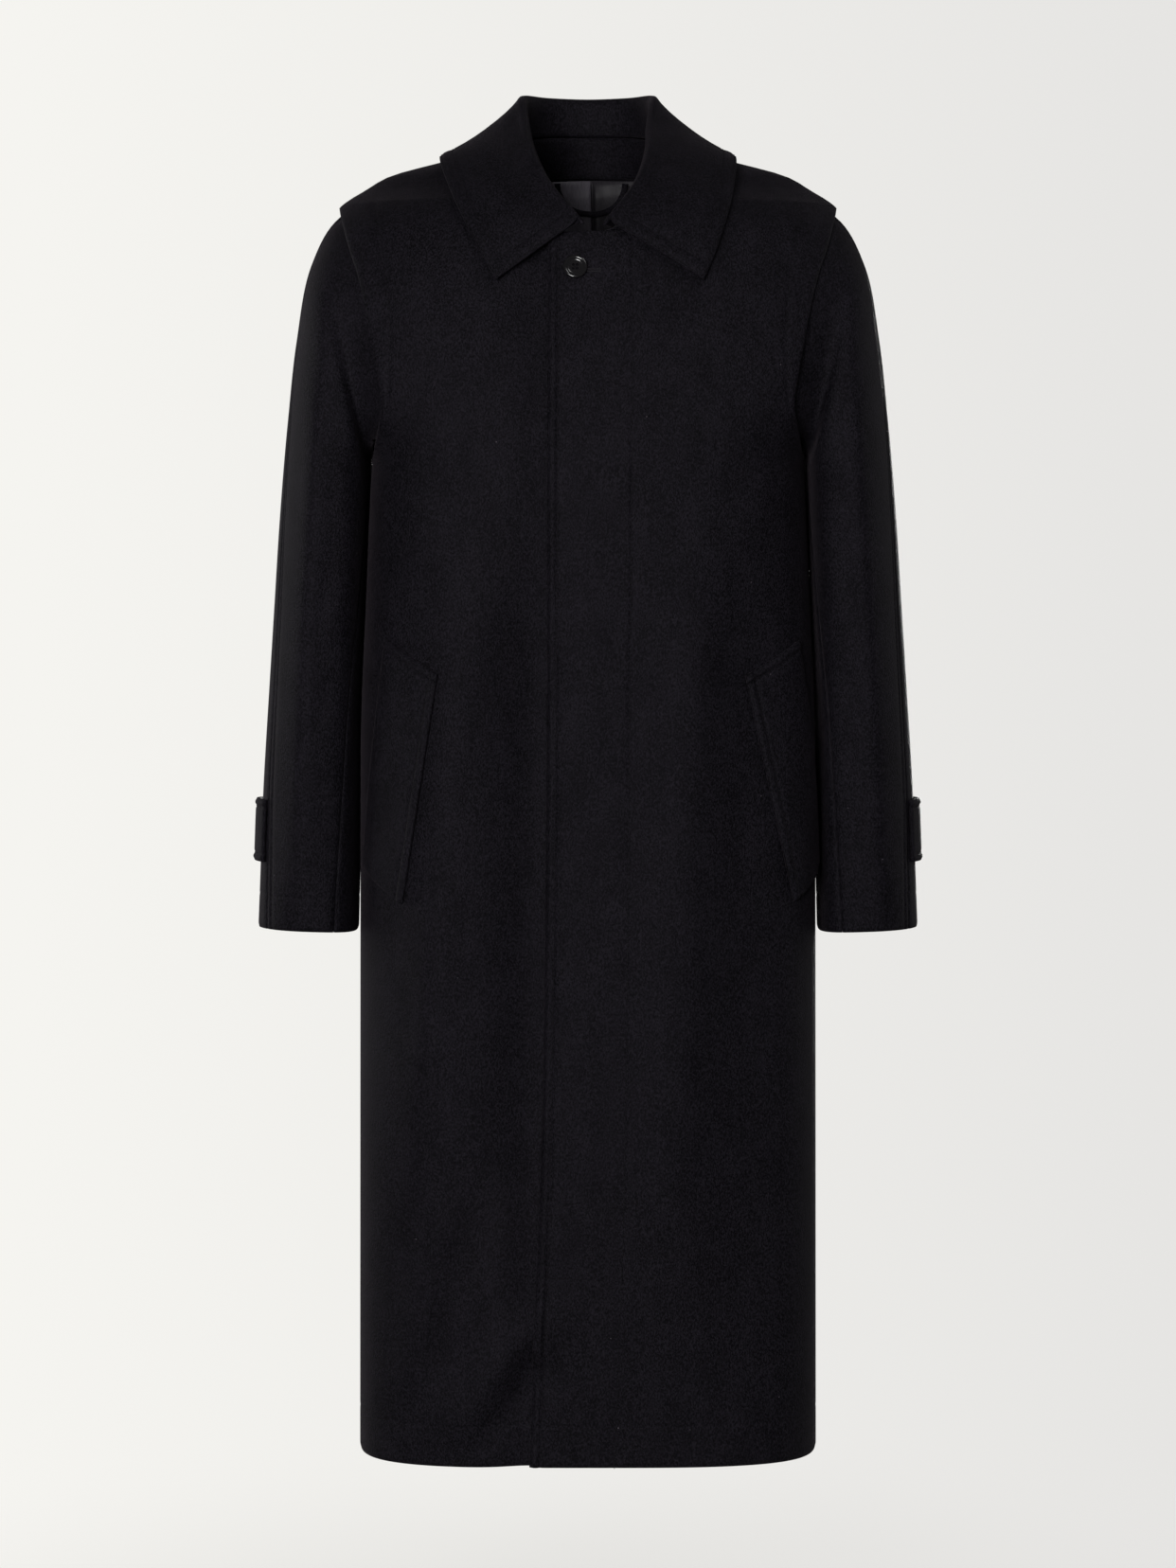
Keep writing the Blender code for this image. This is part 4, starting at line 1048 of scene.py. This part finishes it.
# %% Facing
LAP_GAP = 0.0006          # left between two pieces that lie on each other
FACING_FOOT = -0.028      # height of its lower edge at the shoulder seam
FACING_STITCH = 0.0020
FACING_RISE = 0.0026      # brings it up to the foot of the collar at the nape
STAND_STITCH = 0.0034     # beside the seam between the collar and the facing
FACING_INSET = 14         # columns left off at each shoulder seam
NAPE_SHARE = 0.70         # share of the way to a shoulder seam over which it is raised
facing_drop = TOP_ROW - FACING_FOOT
facing_z = TOP_ROW - spread(facing_drop, 0.004, (facing_drop,), reach=0.003)
shown = slice(FACING_INSET, -FACING_INSET)
bearing, heights = [net[:, shown] for net in back_net(facing_z)]
from_nape = np.abs(bearing - math.pi) / (0.5 * math.pi)
to_foot = (facing_z - facing_z[0])[:, None] / (facing_z[-1] - facing_z[0])
near_nape = np.clip(1 - (from_nape / NAPE_SHARE) ** 2, 0.0, 1.0)
heights = heights + FACING_RISE * near_nape * (1 - to_foot)
points, out = body(bearing, heights), normals(body, bearing, heights)
reach = reaches(points)
facing_depth = CLOTH + LAP_GAP
sunk = facing_depth + CLOTH - EDGE_ROLL * bell(reach["foot"] / ROLL_REACH)
facing_face = points - sunk[..., None] * out
facing_piece = dress("back_neck_facing", facing_face, points - facing_depth * out)
facing_net = (facing_face, -out, reaches(facing_face))
facing_edge = points[-1]


def facing_foot(x):
    """Height of the facing's lower edge at x."""
    order = np.argsort(facing_edge[:, 0])
    return np.interp(x, facing_edge[order, 0], facing_edge[order, 2])


# %% Lining with its pleat
SATIN = 0.0010
LINING_FOOT = -0.300
LINING_HANG = 0.0025      # lining hangs this far inside the back
LINING_REACH = 0.110      # half the width of lining that shows
PLEAT_X = 0.003           # fold edge of the lining pleat
PLEAT_LAP = 0.024
PLEAT_GAP = 0.0012        # left between the lapped halves of the lining
GROOVE_X = 0.0046         # the half behind dips here, beside the fold edge
GROOVE = 0.0044
GROOVE_HALF = 0.0013
LINING_DROP = 0.280       # usual length from the facing to the foot
LINING_BLEND = 0.05       # its folds start over this share of its length
LINING_FOLDS = (          # top x, foot x, half width, height
    (0.003, 0.004, 0.0300, 0.0042),
    (0.010, 0.013, 0.0032, 0.0008), (0.030, 0.052, 0.0060, 0.0010), (0.066, 0.078, 0.0080, 0.0010),
    (-0.030, -0.044, 0.0070, 0.0009), (-0.070, -0.080, 0.0080, 0.0010),
)


def back_at(x, z, out):
    """Point of the back at x and z, moved out of its face."""
    return raised(body, math.pi - bearing_at(x, z), z, out)


def lining_half(node, start, end, depth, satin, groove=0.0):
    """One half of the back lining between two x, hung below the facing, with soft upright folds."""
    x = start + spread(end - start, 0.0030, (GROOVE_X - start,) if groove else ())
    top = facing_foot(x) - LAP_GAP
    share = (spread(LINING_DROP, 0.0050) / LINING_DROP)[:, None]
    z = top + (LINING_FOOT - top) * share
    x = np.broadcast_to(x, z.shape)
    rise = -groove * bell((x - GROOVE_X) / GROOVE_HALF)
    for top_x, foot_x, half, height in LINING_FOLDS:
        rise = rise + height * bell((x - top_x - (foot_x - top_x) * share) / half)
    rise = rise * smoothstep(share / LINING_BLEND)
    face, back = back_at(x, z, -depth - SATIN - rise), back_at(x, z, -depth)
    return dress(node, face, back, satin, "satin")


lining_depth = CLOTH + LINING_HANG
over_depth = lining_depth + SATIN + PLEAT_GAP
# The half behind the pleat takes the darker satin as painted shade, the half in front the lighter satin
# as painted light.
lining_left = lining_half(
    "lining_left", PLEAT_X - PLEAT_LAP, LINING_REACH, lining_depth, PAINTED_SHADE_SATIN, GROOVE,
)
lining_right = lining_half("lining_right", -LINING_REACH, PLEAT_X, over_depth, PAINTED_LIT_SATIN)

# %% Hanger loop: a folded strip that hangs in a curve
LOOP_CENTRE_X = 0.003
LOOP_HALF_SPAN = 0.037
LOOP_SAG = 0.032
LOOP_WIDTH = 0.005
LOOP_WALL = 0.0014
LOOP_TUCK = 0.001         # its ends start this far below the facing
LOOP_SWING = 0.0010       # its middle stands off by this
LOOP_CROWN = 0.0005
turn = np.linspace(0.0, math.pi, 73)
width = LOOP_WIDTH * np.linspace(0.0, 1.0, 7)[:, None]
x = LOOP_CENTRE_X - (LOOP_HALF_SPAN - width) * np.cos(turn)
z = facing_foot(x) - LOOP_TUCK - (LOOP_SAG - width) * np.sin(turn)
pleat_x, _, pleat_half, pleat_height = LINING_FOLDS[0]
over_pleat = pleat_height * bell((x - pleat_x) / pleat_half)
loop_depth = over_depth + SATIN + LAP_GAP + over_pleat + LOOP_SWING * np.sin(turn)
crown = LOOP_CROWN * np.sin(math.pi * width / LOOP_WIDTH)
loop_piece = dress(
    "hanger_loop", back_at(x, z, -loop_depth - LOOP_WALL - crown), back_at(x, z, -loop_depth),
)

# %% [markdown]
# ## Pocket welts
# The hand goes in behind a slanted strip of folded wool. The strip lies on its front, so it is
# made from that front's points, moved out by its own thickness, and sewn down all round.

# %% Slanted welts
WELTS = (                 # side, head x and z, foot x and z, all of the inner long edge
    (-1, -0.1300, -0.4796, -0.1610, -0.6807), (1, 0.1368, -0.4810, 0.1800, -0.6795),
)
WELT_WIDTH = 0.056
WELT_LENGTH = 0.206
WELT_SLANT = 0.031
WELT_LIFT = 0.0013        # back of the welt above its front
WELT_WALL = 0.0030
WELT_STITCH = 0.0085
WELT_REACH = 1.30         # bearing at which a welt stops, clear of the sleeve


def sewn_share(span, step, stitch):
    """Stations from 0 to 1 across a span that is sewn along both of its edges."""
    return spread(span, step, (0.0, stitch, span - stitch, span), 0.003) / span


def welt_net(side, head_x, head_z, foot_x, foot_z):
    """Bearings and heights of a welt: across from its inner long edge, along from its upper end."""
    across = sewn_share(WELT_WIDTH, 0.0040, WELT_STITCH)
    along = sewn_share(WELT_LENGTH, 0.0050, WELT_STITCH)[:, None]
    z = head_z + (foot_z - head_z) * along + WELT_SLANT * across
    inner_x = np.abs(head_x + (foot_x - head_x) * along) * np.ones_like(across)
    turn = np.linspace(0.0, 0.5 * math.pi, 361)
    bearing = np.zeros(z.shape)
    for j in range(len(z)):
        lengths = lengths_along(body(side * turn, z[j][:, None]), 1)
        for i, length in enumerate(lengths):
            start = np.interp(float(bearing_at(inner_x[j, i], z[j, i])), turn, length)
            end = np.interp(start + WELT_WIDTH * across[i], length, turn)
            bearing[j, i] = side * min(end, WELT_REACH)
    return bearing, z


welt_faces = {}
for side, *place in WELTS:
    hand = "left" if side > 0 else "right"
    bearing, z = welt_net(side, *place)
    points, out = body(bearing, z), normals(body, bearing, z)
    reach = reaches(points)
    edges = ("first", "last", "top", "foot")
    sewn = [(edge, WELT_STITCH) for edge in ("first", "top")]
    rise = WELT_LIFT + WELT_WALL + relief(reach, edges, sewn, sewn)
    face = points + rise[..., None] * out
    piece = dress(f"pocket_welt_{hand}", face, points + WELT_LIFT * out)
    welt_faces[hand] = (piece, face, out, reach)

# %% [markdown]
# ## Sleeve tabs
# A tab is caught in the outer seam above the cuff and buttons down towards the back. It springs a
# little off the sleeve between its two ends.

# %% Tabs with a round nose
TAB_TOP = 0.573           # down the sleeve
TAB_HEIGHT = 0.056
TAB_TURN = math.radians(118.0)
TAB_LIFT = 0.0034         # spring of the tab away from the sleeve
TAB_WALL = 0.0030
TAB_STITCH = 0.0070
TAB_INSET = 0.02          # radians from the outer seam
NOSE = 0.14               # share of the tab that its round nose takes up
NOSE_DRAW = 0.9           # how far the nose narrows: 1 would be to a point
tab_middle = TAB_TOP + 0.5 * TAB_HEIGHT


def tab_spring(share):
    """How far the back of the tab stands off the sleeve at a share of its length."""
    return LAP_GAP + TAB_LIFT * np.sin(math.pi * share) ** 0.8


share = spread(1.0, 0.030, (1.0,), reach=NOSE, fine=0.012)
nose = np.clip((share - 1 + NOSE) / NOSE, 0.0, 1.0)
across = sewn_share(TAB_HEIGHT, 0.0040, TAB_STITCH)[:, None] - 0.5
down = tab_middle + TAB_HEIGHT * across * np.sqrt(1 - (NOSE_DRAW * nose) ** 2)
tab_start = math.radians(float(outer_seam(tab_middle))) - TAB_INSET
turn = np.broadcast_to(tab_start - TAB_TURN * share, down.shape)
spring = np.broadcast_to(tab_spring(share), down.shape)
points, out = sleeve(turn, down), normals(sleeve, turn, down)
reach = reaches(points)
tab_edges = ("top", "foot", "last")
tab_sewn = [(edge, TAB_STITCH) for edge in tab_edges]
rise = spring + TAB_WALL + relief(reach, tab_edges, tab_sewn, tab_sewn)
tab_faces = {}
for side, hand in ((1, "left"), (-1, "right")):
    face = mirrored(points + rise[..., None] * out, side)
    back = mirrored(points + spring[..., None] * out, side)
    piece = dress(f"sleeve_tab_{hand}", face, back)
    tab_faces[hand] = (piece, face, mirrored(out, side), reach)

# %% [markdown]
# ## Buttons
# A button is turned on a lathe, so its outline is spun round its axis: a raised rim, a dished
# middle, four drilled holes. Thread crosses between the holes.

# %% Turn a button
BUTTON_HEIGHT = 0.0034
BUTTON_HOLE_RADIUS = 0.0012
BUTTON_HOLE_OFFSET = 0.0024
BUTTON_PROFILE = (        # radius and height, as shares
    (0.60, 0.0), (0.84, 0.12), (0.95, 0.32), (1.0, 0.58), (0.985, 0.78), (0.94, 0.92),
    (0.87, 1.0), (0.80, 0.97), (0.73, 0.87), (0.67, 0.70), (0.60, 0.60), (0.48, 0.57),
)
BUTTON_SIDES = 48
DRILL_SIDES = 16
HOLE_TURNS = (45.0, 135.0, 225.0, 315.0)
SHARP_EDGE = 40.0         # degrees


def upright_on(centre, out):
    """A matrix that stands a part at the centre with its axis along out."""
    turned = Vector((0.0, 0.0, 1.0)).rotation_difference(Vector(out.tolist()))
    return Matrix.Translation(Vector(centre.tolist())) @ turned.to_matrix().to_4x4()


def add_drill(x, y):
    """A slim upright cylinder that cuts a hole."""
    turn = np.linspace(0.0, 2 * math.pi, DRILL_SIDES, endpoint=False)
    ring = np.stack([x + BUTTON_HOLE_RADIUS * np.cos(turn), y + BUTTON_HOLE_RADIUS * np.sin(turn)], 1)
    heights = (-BUTTON_HEIGHT, 2 * BUTTON_HEIGHT)
    points = np.concatenate([np.column_stack([ring, np.full(DRILL_SIDES, z)]) for z in heights])
    walls, ends = tube_faces(2, DRILL_SIDES)
    return add_mesh("drill", points, walls.tolist() + ends.tolist())


def button(name, node, radius, centre, out):
    """A turned and drilled button with its back at the centre."""
    turn = np.linspace(0.0, 2 * math.pi, BUTTON_SIDES, endpoint=False)
    rings = np.array(BUTTON_PROFILE) * np.array([radius, BUTTON_HEIGHT])
    points = np.stack([
        rings[:, :1] * np.cos(turn), rings[:, :1] * np.sin(turn), rings[:, 1:] * np.ones(BUTTON_SIDES),
    ], -1)
    walls, ends = tube_faces(len(rings), BUTTON_SIDES)
    piece = add_piece(name, points, walls.tolist() + ends.tolist(), RESIN)
    drills = []
    for turn in np.radians(HOLE_TURNS):
        drills.append(add_drill(BUTTON_HOLE_OFFSET * math.cos(turn), BUTTON_HOLE_OFFSET * math.sin(turn)))
        cut = piece.modifiers.new("hole", "BOOLEAN")
        cut.operation = "DIFFERENCE"
        cut.solver = "EXACT"
        cut.object = drills[-1]
    graph = bpy.context.evaluated_depsgraph_get()
    drilled = bpy.data.meshes.new_from_object(piece.evaluated_get(graph))
    piece.modifiers.clear()
    piece.data = drilled
    for drill in drills:
        bpy.data.objects.remove(drill, do_unlink=True)
    drilled.transform(upright_on(centre, out))
    drilled.set_sharp_from_angle(angle=math.radians(SHARP_EDGE))
    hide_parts(node)
    return piece


# %% Sew the buttons on
BUTTON_THREAD = 0.00022
STRAND_SHIFT = 0.00030    # half the distance between the two strands of a pair
STRAND_LENGTH = 2.3 * BUTTON_HOLE_OFFSET
STRAND_LIFT = 0.60 * BUTTON_HEIGHT
NECK_BUTTON_RADIUS = 0.01065
NECK_BUTTON_X = -0.0111
NECK_BUTTON_Z = -0.1224
TAB_BUTTON_RADIUS = 0.0090
TAB_BUTTON_SHARE = 0.80   # along the tab
TAB_BUTTON_LIFT = 0.0010  # back of the button above the tab


def button_thread(name, centre, out):
    """Thread over the button's face: two strands between each pair of holes, in a cross."""
    place = np.array(upright_on(centre, out).to_3x3())
    centres, along = [], []
    for turn in np.radians(HOLE_TURNS[:2]):
        run = np.array([math.cos(turn), math.sin(turn), 0.0])
        beside = np.array([-run[1], run[0], 0.0])
        for shift in (-STRAND_SHIFT, STRAND_SHIFT):
            centres.append(centre + place @ (beside * shift + np.array([0.0, 0.0, STRAND_LIFT])))
            along.append(place @ run)
    away = np.tile(out, (len(centres), 1))
    points, faces = stitches(np.array(centres), np.array(along), away, STRAND_LENGTH, BUTTON_THREAD)
    piece = add_piece(name, points, faces, THREAD)
    return piece


neck_bearing = bearing_at(NECK_BUTTON_X, NECK_BUTTON_Z)
neck_out = normals(body, np.array(neck_bearing), np.array(NECK_BUTTON_Z))
neck_seat = raised(body, neck_bearing, NECK_BUTTON_Z, LAP_GAP)
button("neck_button_resin", "neck_button", NECK_BUTTON_RADIUS, neck_seat, neck_out)
button_thread("neck_button_thread", neck_seat, neck_out)
tab_turn = math.radians(float(outer_seam(TAB_TOP))) - TAB_BUTTON_SHARE * TAB_TURN
tab_rise = tab_spring(TAB_BUTTON_SHARE) + TAB_WALL + TAB_BUTTON_LIFT
tab_seat = raised(sleeve, tab_turn, tab_middle, tab_rise)
tab_out = normals(sleeve, np.array(tab_turn), np.array(tab_middle))
for side, hand in ((1, "left"), (-1, "right")):
    seat, out = mirrored(tab_seat, side), mirrored(tab_out, side)
    button(f"tab_button_{hand}_resin", f"tab_button_{hand}", TAB_BUTTON_RADIUS, seat, out)
    button_thread(f"tab_button_{hand}_thread", seat, out)
print("buttons: 3")

# %% Buttonhole beside the neck button: close stitches along both lips and a bar at its end
HOLE_START_X = -0.0008    # where it comes out from under the button
HOLE_END_X = 0.0100
HOLE_Z = -0.1248
HOLE_PITCH = 0.00062
HOLE_LIP = 0.00105        # middle of a lip from the middle of the slit
HOLE_STITCH = 0.0019
HOLE_THREAD = 0.00034
BAR_OFFSET = 0.0006       # bar past the end of the slit
BAR_HALF = 3              # stitches on each side of its middle


def front_frame(x, z):
    """Points on the left front at x and z, with the directions up and out."""
    bearing = bearing_at(x, z)
    out = normals(body, bearing, z)
    up = np.array([0.0, 0.0, 1.0]) - out * out[..., 2:]
    return body(bearing, z), up / np.linalg.norm(up, axis=-1, keepdims=True), out


lip_x = np.arange(HOLE_START_X, HOLE_END_X, HOLE_PITCH)
lips = [front_frame(lip_x, np.full(lip_x.shape, HOLE_Z + side * HOLE_LIP)) for side in (1, -1)]
bar_z = HOLE_Z + HOLE_PITCH * np.arange(-BAR_HALF, BAR_HALF + 1)
bar_centre, bar_up, bar_out = front_frame(np.full(bar_z.shape, HOLE_END_X + BAR_OFFSET), bar_z)
lips.append((bar_centre, np.cross(bar_up, bar_out), bar_out))
centres, along, out = [np.concatenate(parts) for parts in zip(*lips)]
points, faces = stitches(centres, along, out, HOLE_STITCH, HOLE_THREAD)
add_piece("buttonhole_stitching", points, faces, TWIST)
print("buttonhole stitches:", len(centres))

# %% [markdown]
# ## Lines of topstitching
# Every visible line follows an edge at its own distance: front edge and fly, collar, welts,
# sleeve seams, tabs, facing, and the line that holds the overhanging shoulder edge down. The hem
# and the cuffs show no thread on their face, only a faint dip.

# %% Sew the fronts, the back and the shoulder edge
SHOULDER_SEW = np.linspace(FLANGE_TOP, FLANGE_FOOT, 60)


def shoulder_line(side, back):
    """The line that sews the overhanging edge down, on a front or on the back."""
    bearing = side * bearing_at(flange_x(SHOULDER_SEW), SHOULDER_SEW)
    bearing = math.pi - bearing if back else bearing
    return raised(body, bearing, SHOULDER_SEW, -STITCH_DIP), normals(body, bearing, SHOULDER_SEW)


def below(net, first_row):
    """A panel's face, directions and distances from one row down."""
    face, out, reach = net
    reach = {edge: lengths[first_row:] for edge, lengths in reach.items()}
    return face[first_row:], out[first_row:], reach


left_net = below(front_faces["left"][1:], below_neck)
sew("front_edge_stitching", [sewn_line(*left_net, "first", EDGE_STITCH)])
sew("fly_stitching", [sewn_line(*left_net, "first", FLY_STITCH)])
shoulder_lines = [shoulder_line(side, back) for side in (1, -1) for back in (False, True)]
sew("shoulder_edge_stitching", shoulder_lines)

# %% Sew the collar, the welts, the sleeves and the tabs
collar_lines = []
for distance in COLLAR_STITCHES:
    collar_lines.append(sewn_line(*collar_net, "foot", distance, distance))
    for edge in ("first", "last"):
        line, away = sewn_line(*collar_net, edge, distance, distance)
        fall = len(line) // 3       # the first third lies inside the roll
        collar_lines.append((line[fall:], away[fall:]))
sew("collar_stitching", collar_lines)
welt_lines = []
for piece, *net in welt_faces.values():
    welt_lines += [sewn_line(*net, edge, WELT_STITCH, WELT_STITCH) for edge in ("first", "top")]
sew("pocket_welt_stitching", welt_lines)
seam_lines = []
for hand in ("left", "right"):
    net = sleeve_faces[hand, "front"][1:]
    seam_lines += [sewn_line(*net, "first", distance) for distance in SEAM_STITCHES]
sew("sleeve_seam_stitching", seam_lines)
tab_lines = []
for piece, *net in tab_faces.values():
    tab_lines += [sewn_line(*net, edge, TAB_STITCH, TAB_STITCH) for edge in ("top", "foot")]
sew("sleeve_tab_stitching", tab_lines)
stand_line, stand_out = sewn_line(*collar_net, "top", STAND_STITCH)
quarter = len(stand_line) // 4      # only the half behind the neck shows
sew("facing_stitching", [
    sewn_line(*facing_net, "foot", FACING_STITCH),
    sewn_line(*facing_net, "top", STAND_STITCH),
    (stand_line[quarter:-quarter], stand_out[quarter:-quarter]),
])

# %% [markdown] Cloth pieces


print("cloth pieces dressed: 16")

# %% [markdown]
# ## Studio
# The coat hangs in the air above a pale floor. Black wool shows its folds only by soft lights on
# them, so one broad softbox stands in front, a little to the left, one behind, and two slim ones
# graze the sleeves. The camera stands level in front of the coat, and its lens is shifted down a
# little to frame the hem.

# %% Pale floor that fades into the surroundings
FLOOR_Z = -1.42
FLOOR_RADIUS = 1.1
FADE_START = 0.10         # metres from the middle of the floor
FLOOR_SHEER = 0.60        # share of the backdrop that shows through the middle of the floor
FLOOR_CLOUD = 0.4
FLOOR_SIDES = 96
FLOOR, tree, place = new_finish("pale studio floor, painted")
tint = shades(tree, noise(tree, place, FLOOR_CLOUD, 3.0), "#eeede9", "#f2f1ee")
paint = add_node(tree, "ShaderNodeBsdfDiffuse", links={"Color": tint})
away = add_node(tree, "ShaderNodeVectorMath", {"operation": "LENGTH"}, {0: place}).outputs["Value"]
fading = {
    "interpolation_type": "SMOOTHSTEP", "From Min": FADE_START, "From Max": FLOOR_RADIUS,
    "To Min": FLOOR_SHEER,
}
fade = add_node(tree, "ShaderNodeMapRange", fading, {"Value": away}).outputs["Result"]
open_air = add_node(tree, "ShaderNodeBsdfTransparent")
mixed = add_node(
    tree, "ShaderNodeMixShader", links={0: fade, 1: paint.outputs["BSDF"], 2: open_air.outputs["BSDF"]},
)
add_node(tree, "ShaderNodeOutputMaterial", links={"Surface": mixed.outputs["Shader"]})
turn = np.linspace(0.0, 2 * math.pi, FLOOR_SIDES, endpoint=False)
disc = FLOOR_RADIUS * np.column_stack([np.cos(turn), np.sin(turn), np.zeros(FLOOR_SIDES)])
floor = add_mesh("floor", disc, [range(FLOOR_SIDES)], FLOOR)
floor.location = (0.0, 0.0, FLOOR_Z)

# %% Pale backdrop all round, a little darker towards +X
BACKDROP_RADIUS = 9.0
BLEND_HALF = 0.22 * BACKDROP_RADIUS # it darkens over this width on both sides of the middle
BACKDROP, tree, place = new_finish("pale studio backdrop, seamless paper")
sideways = add_node(tree, "ShaderNodeSeparateXYZ", links={0: place}).outputs["X"]
blend = {"From Min": -BLEND_HALF, "From Max": BLEND_HALF}
share = add_node(tree, "ShaderNodeMapRange", blend, {"Value": sideways}).outputs["Result"]
tint = shades(tree, share, "#f5f4f0", "#e6e5e3")
glow = add_node(tree, "ShaderNodeEmission", links={"Color": tint})
add_node(tree, "ShaderNodeOutputMaterial", links={"Surface": glow.outputs["Emission"]})
turn, tilt = np.meshgrid(np.linspace(0.0, 2 * math.pi, 65), np.linspace(0.0, math.pi, 33))
ball = np.stack([np.sin(tilt) * np.cos(turn), np.sin(tilt) * np.sin(turn), np.cos(tilt)], -1)
net = np.arange(turn.size).reshape(turn.shape)
sides = np.stack([net[:-1, :-1], net[1:, :-1], net[1:, 1:], net[:-1, 1:]], -1).reshape(-1, 4)
backdrop = add_mesh("backdrop", BACKDROP_RADIUS * ball, sides.tolist(), BACKDROP)
backdrop.visible_diffuse = False
backdrop.visible_glossy = False
backdrop.visible_shadow = False

# %% Dim even light from the room
ROOM_LIGHT = 0.15
world = bpy.data.worlds.new("studio room")
world.use_nodes = True
glow = world.node_tree.nodes["Background"]
glow.inputs["Color"].default_value = linear("#f4f2f4")
glow.inputs["Strength"].default_value = ROOM_LIGHT
bpy.context.scene.world = world
bpy.context.scene.view_settings.view_transform = "Standard"

# %% Soft boxes
LIGHTS = (                # name, place, aim, width, height, watts
    ("key softbox", (-0.8, -3.1, -0.25), (0.0, 0.0, -0.50), 1.0, 1.2, 94.0),
    ("upper fill softbox", (1.1, -1.6, 2.0), (0.0, 0.0, -0.1), 0.8, 0.8, 15.0),
    ("back softbox", (0.8, 3.1, -0.25), (0.0, 0.0, -0.50), 1.0, 1.2, 70.0),
    ("left rim softbox", (-2.2, 0.9, -0.2), (0.0, 0.0, -0.5), 0.5, 1.8, 16.0),
    ("right rim softbox", (2.3, 0.9, -0.2), (0.0, 0.0, -0.5), 0.5, 1.8, 8.0),
)
for name, place, aim, width, height, watts in LIGHTS:
    lamp = bpy.data.lights.new(name, "AREA")
    lamp.shape = "RECTANGLE"
    lamp.size, lamp.size_y = width, height
    lamp.energy = watts
    holder = add_object(name, lamp)
    holder.location = place
    holder.rotation_euler = (Vector(aim) - Vector(place)).to_track_quat("-Z", "Y").to_euler()
print("lights:", len(LIGHTS))

# %% Camera
CAMERA_AWAY = 3.0
CAMERA_Z = -0.4696        # the horizon of the picture
PICTURE_HEIGHT = 1.4242   # metres of the coat's plane that the picture takes in
HORIZON_ABOVE_MIDDLE = 128 / 1656   # share of the picture's height
SENSOR = 36.0             # mm
lens = bpy.data.cameras.new("camera")
lens.sensor_width = SENSOR
lens.lens = SENSOR * CAMERA_AWAY / PICTURE_HEIGHT
lens.shift_y = -HORIZON_ABOVE_MIDDLE
camera = add_object("camera", lens)
camera.location = (0.0, -CAMERA_AWAY, CAMERA_Z)
camera.rotation_euler = (math.radians(90.0), 0.0, 0.0)
bpy.context.scene.camera = camera
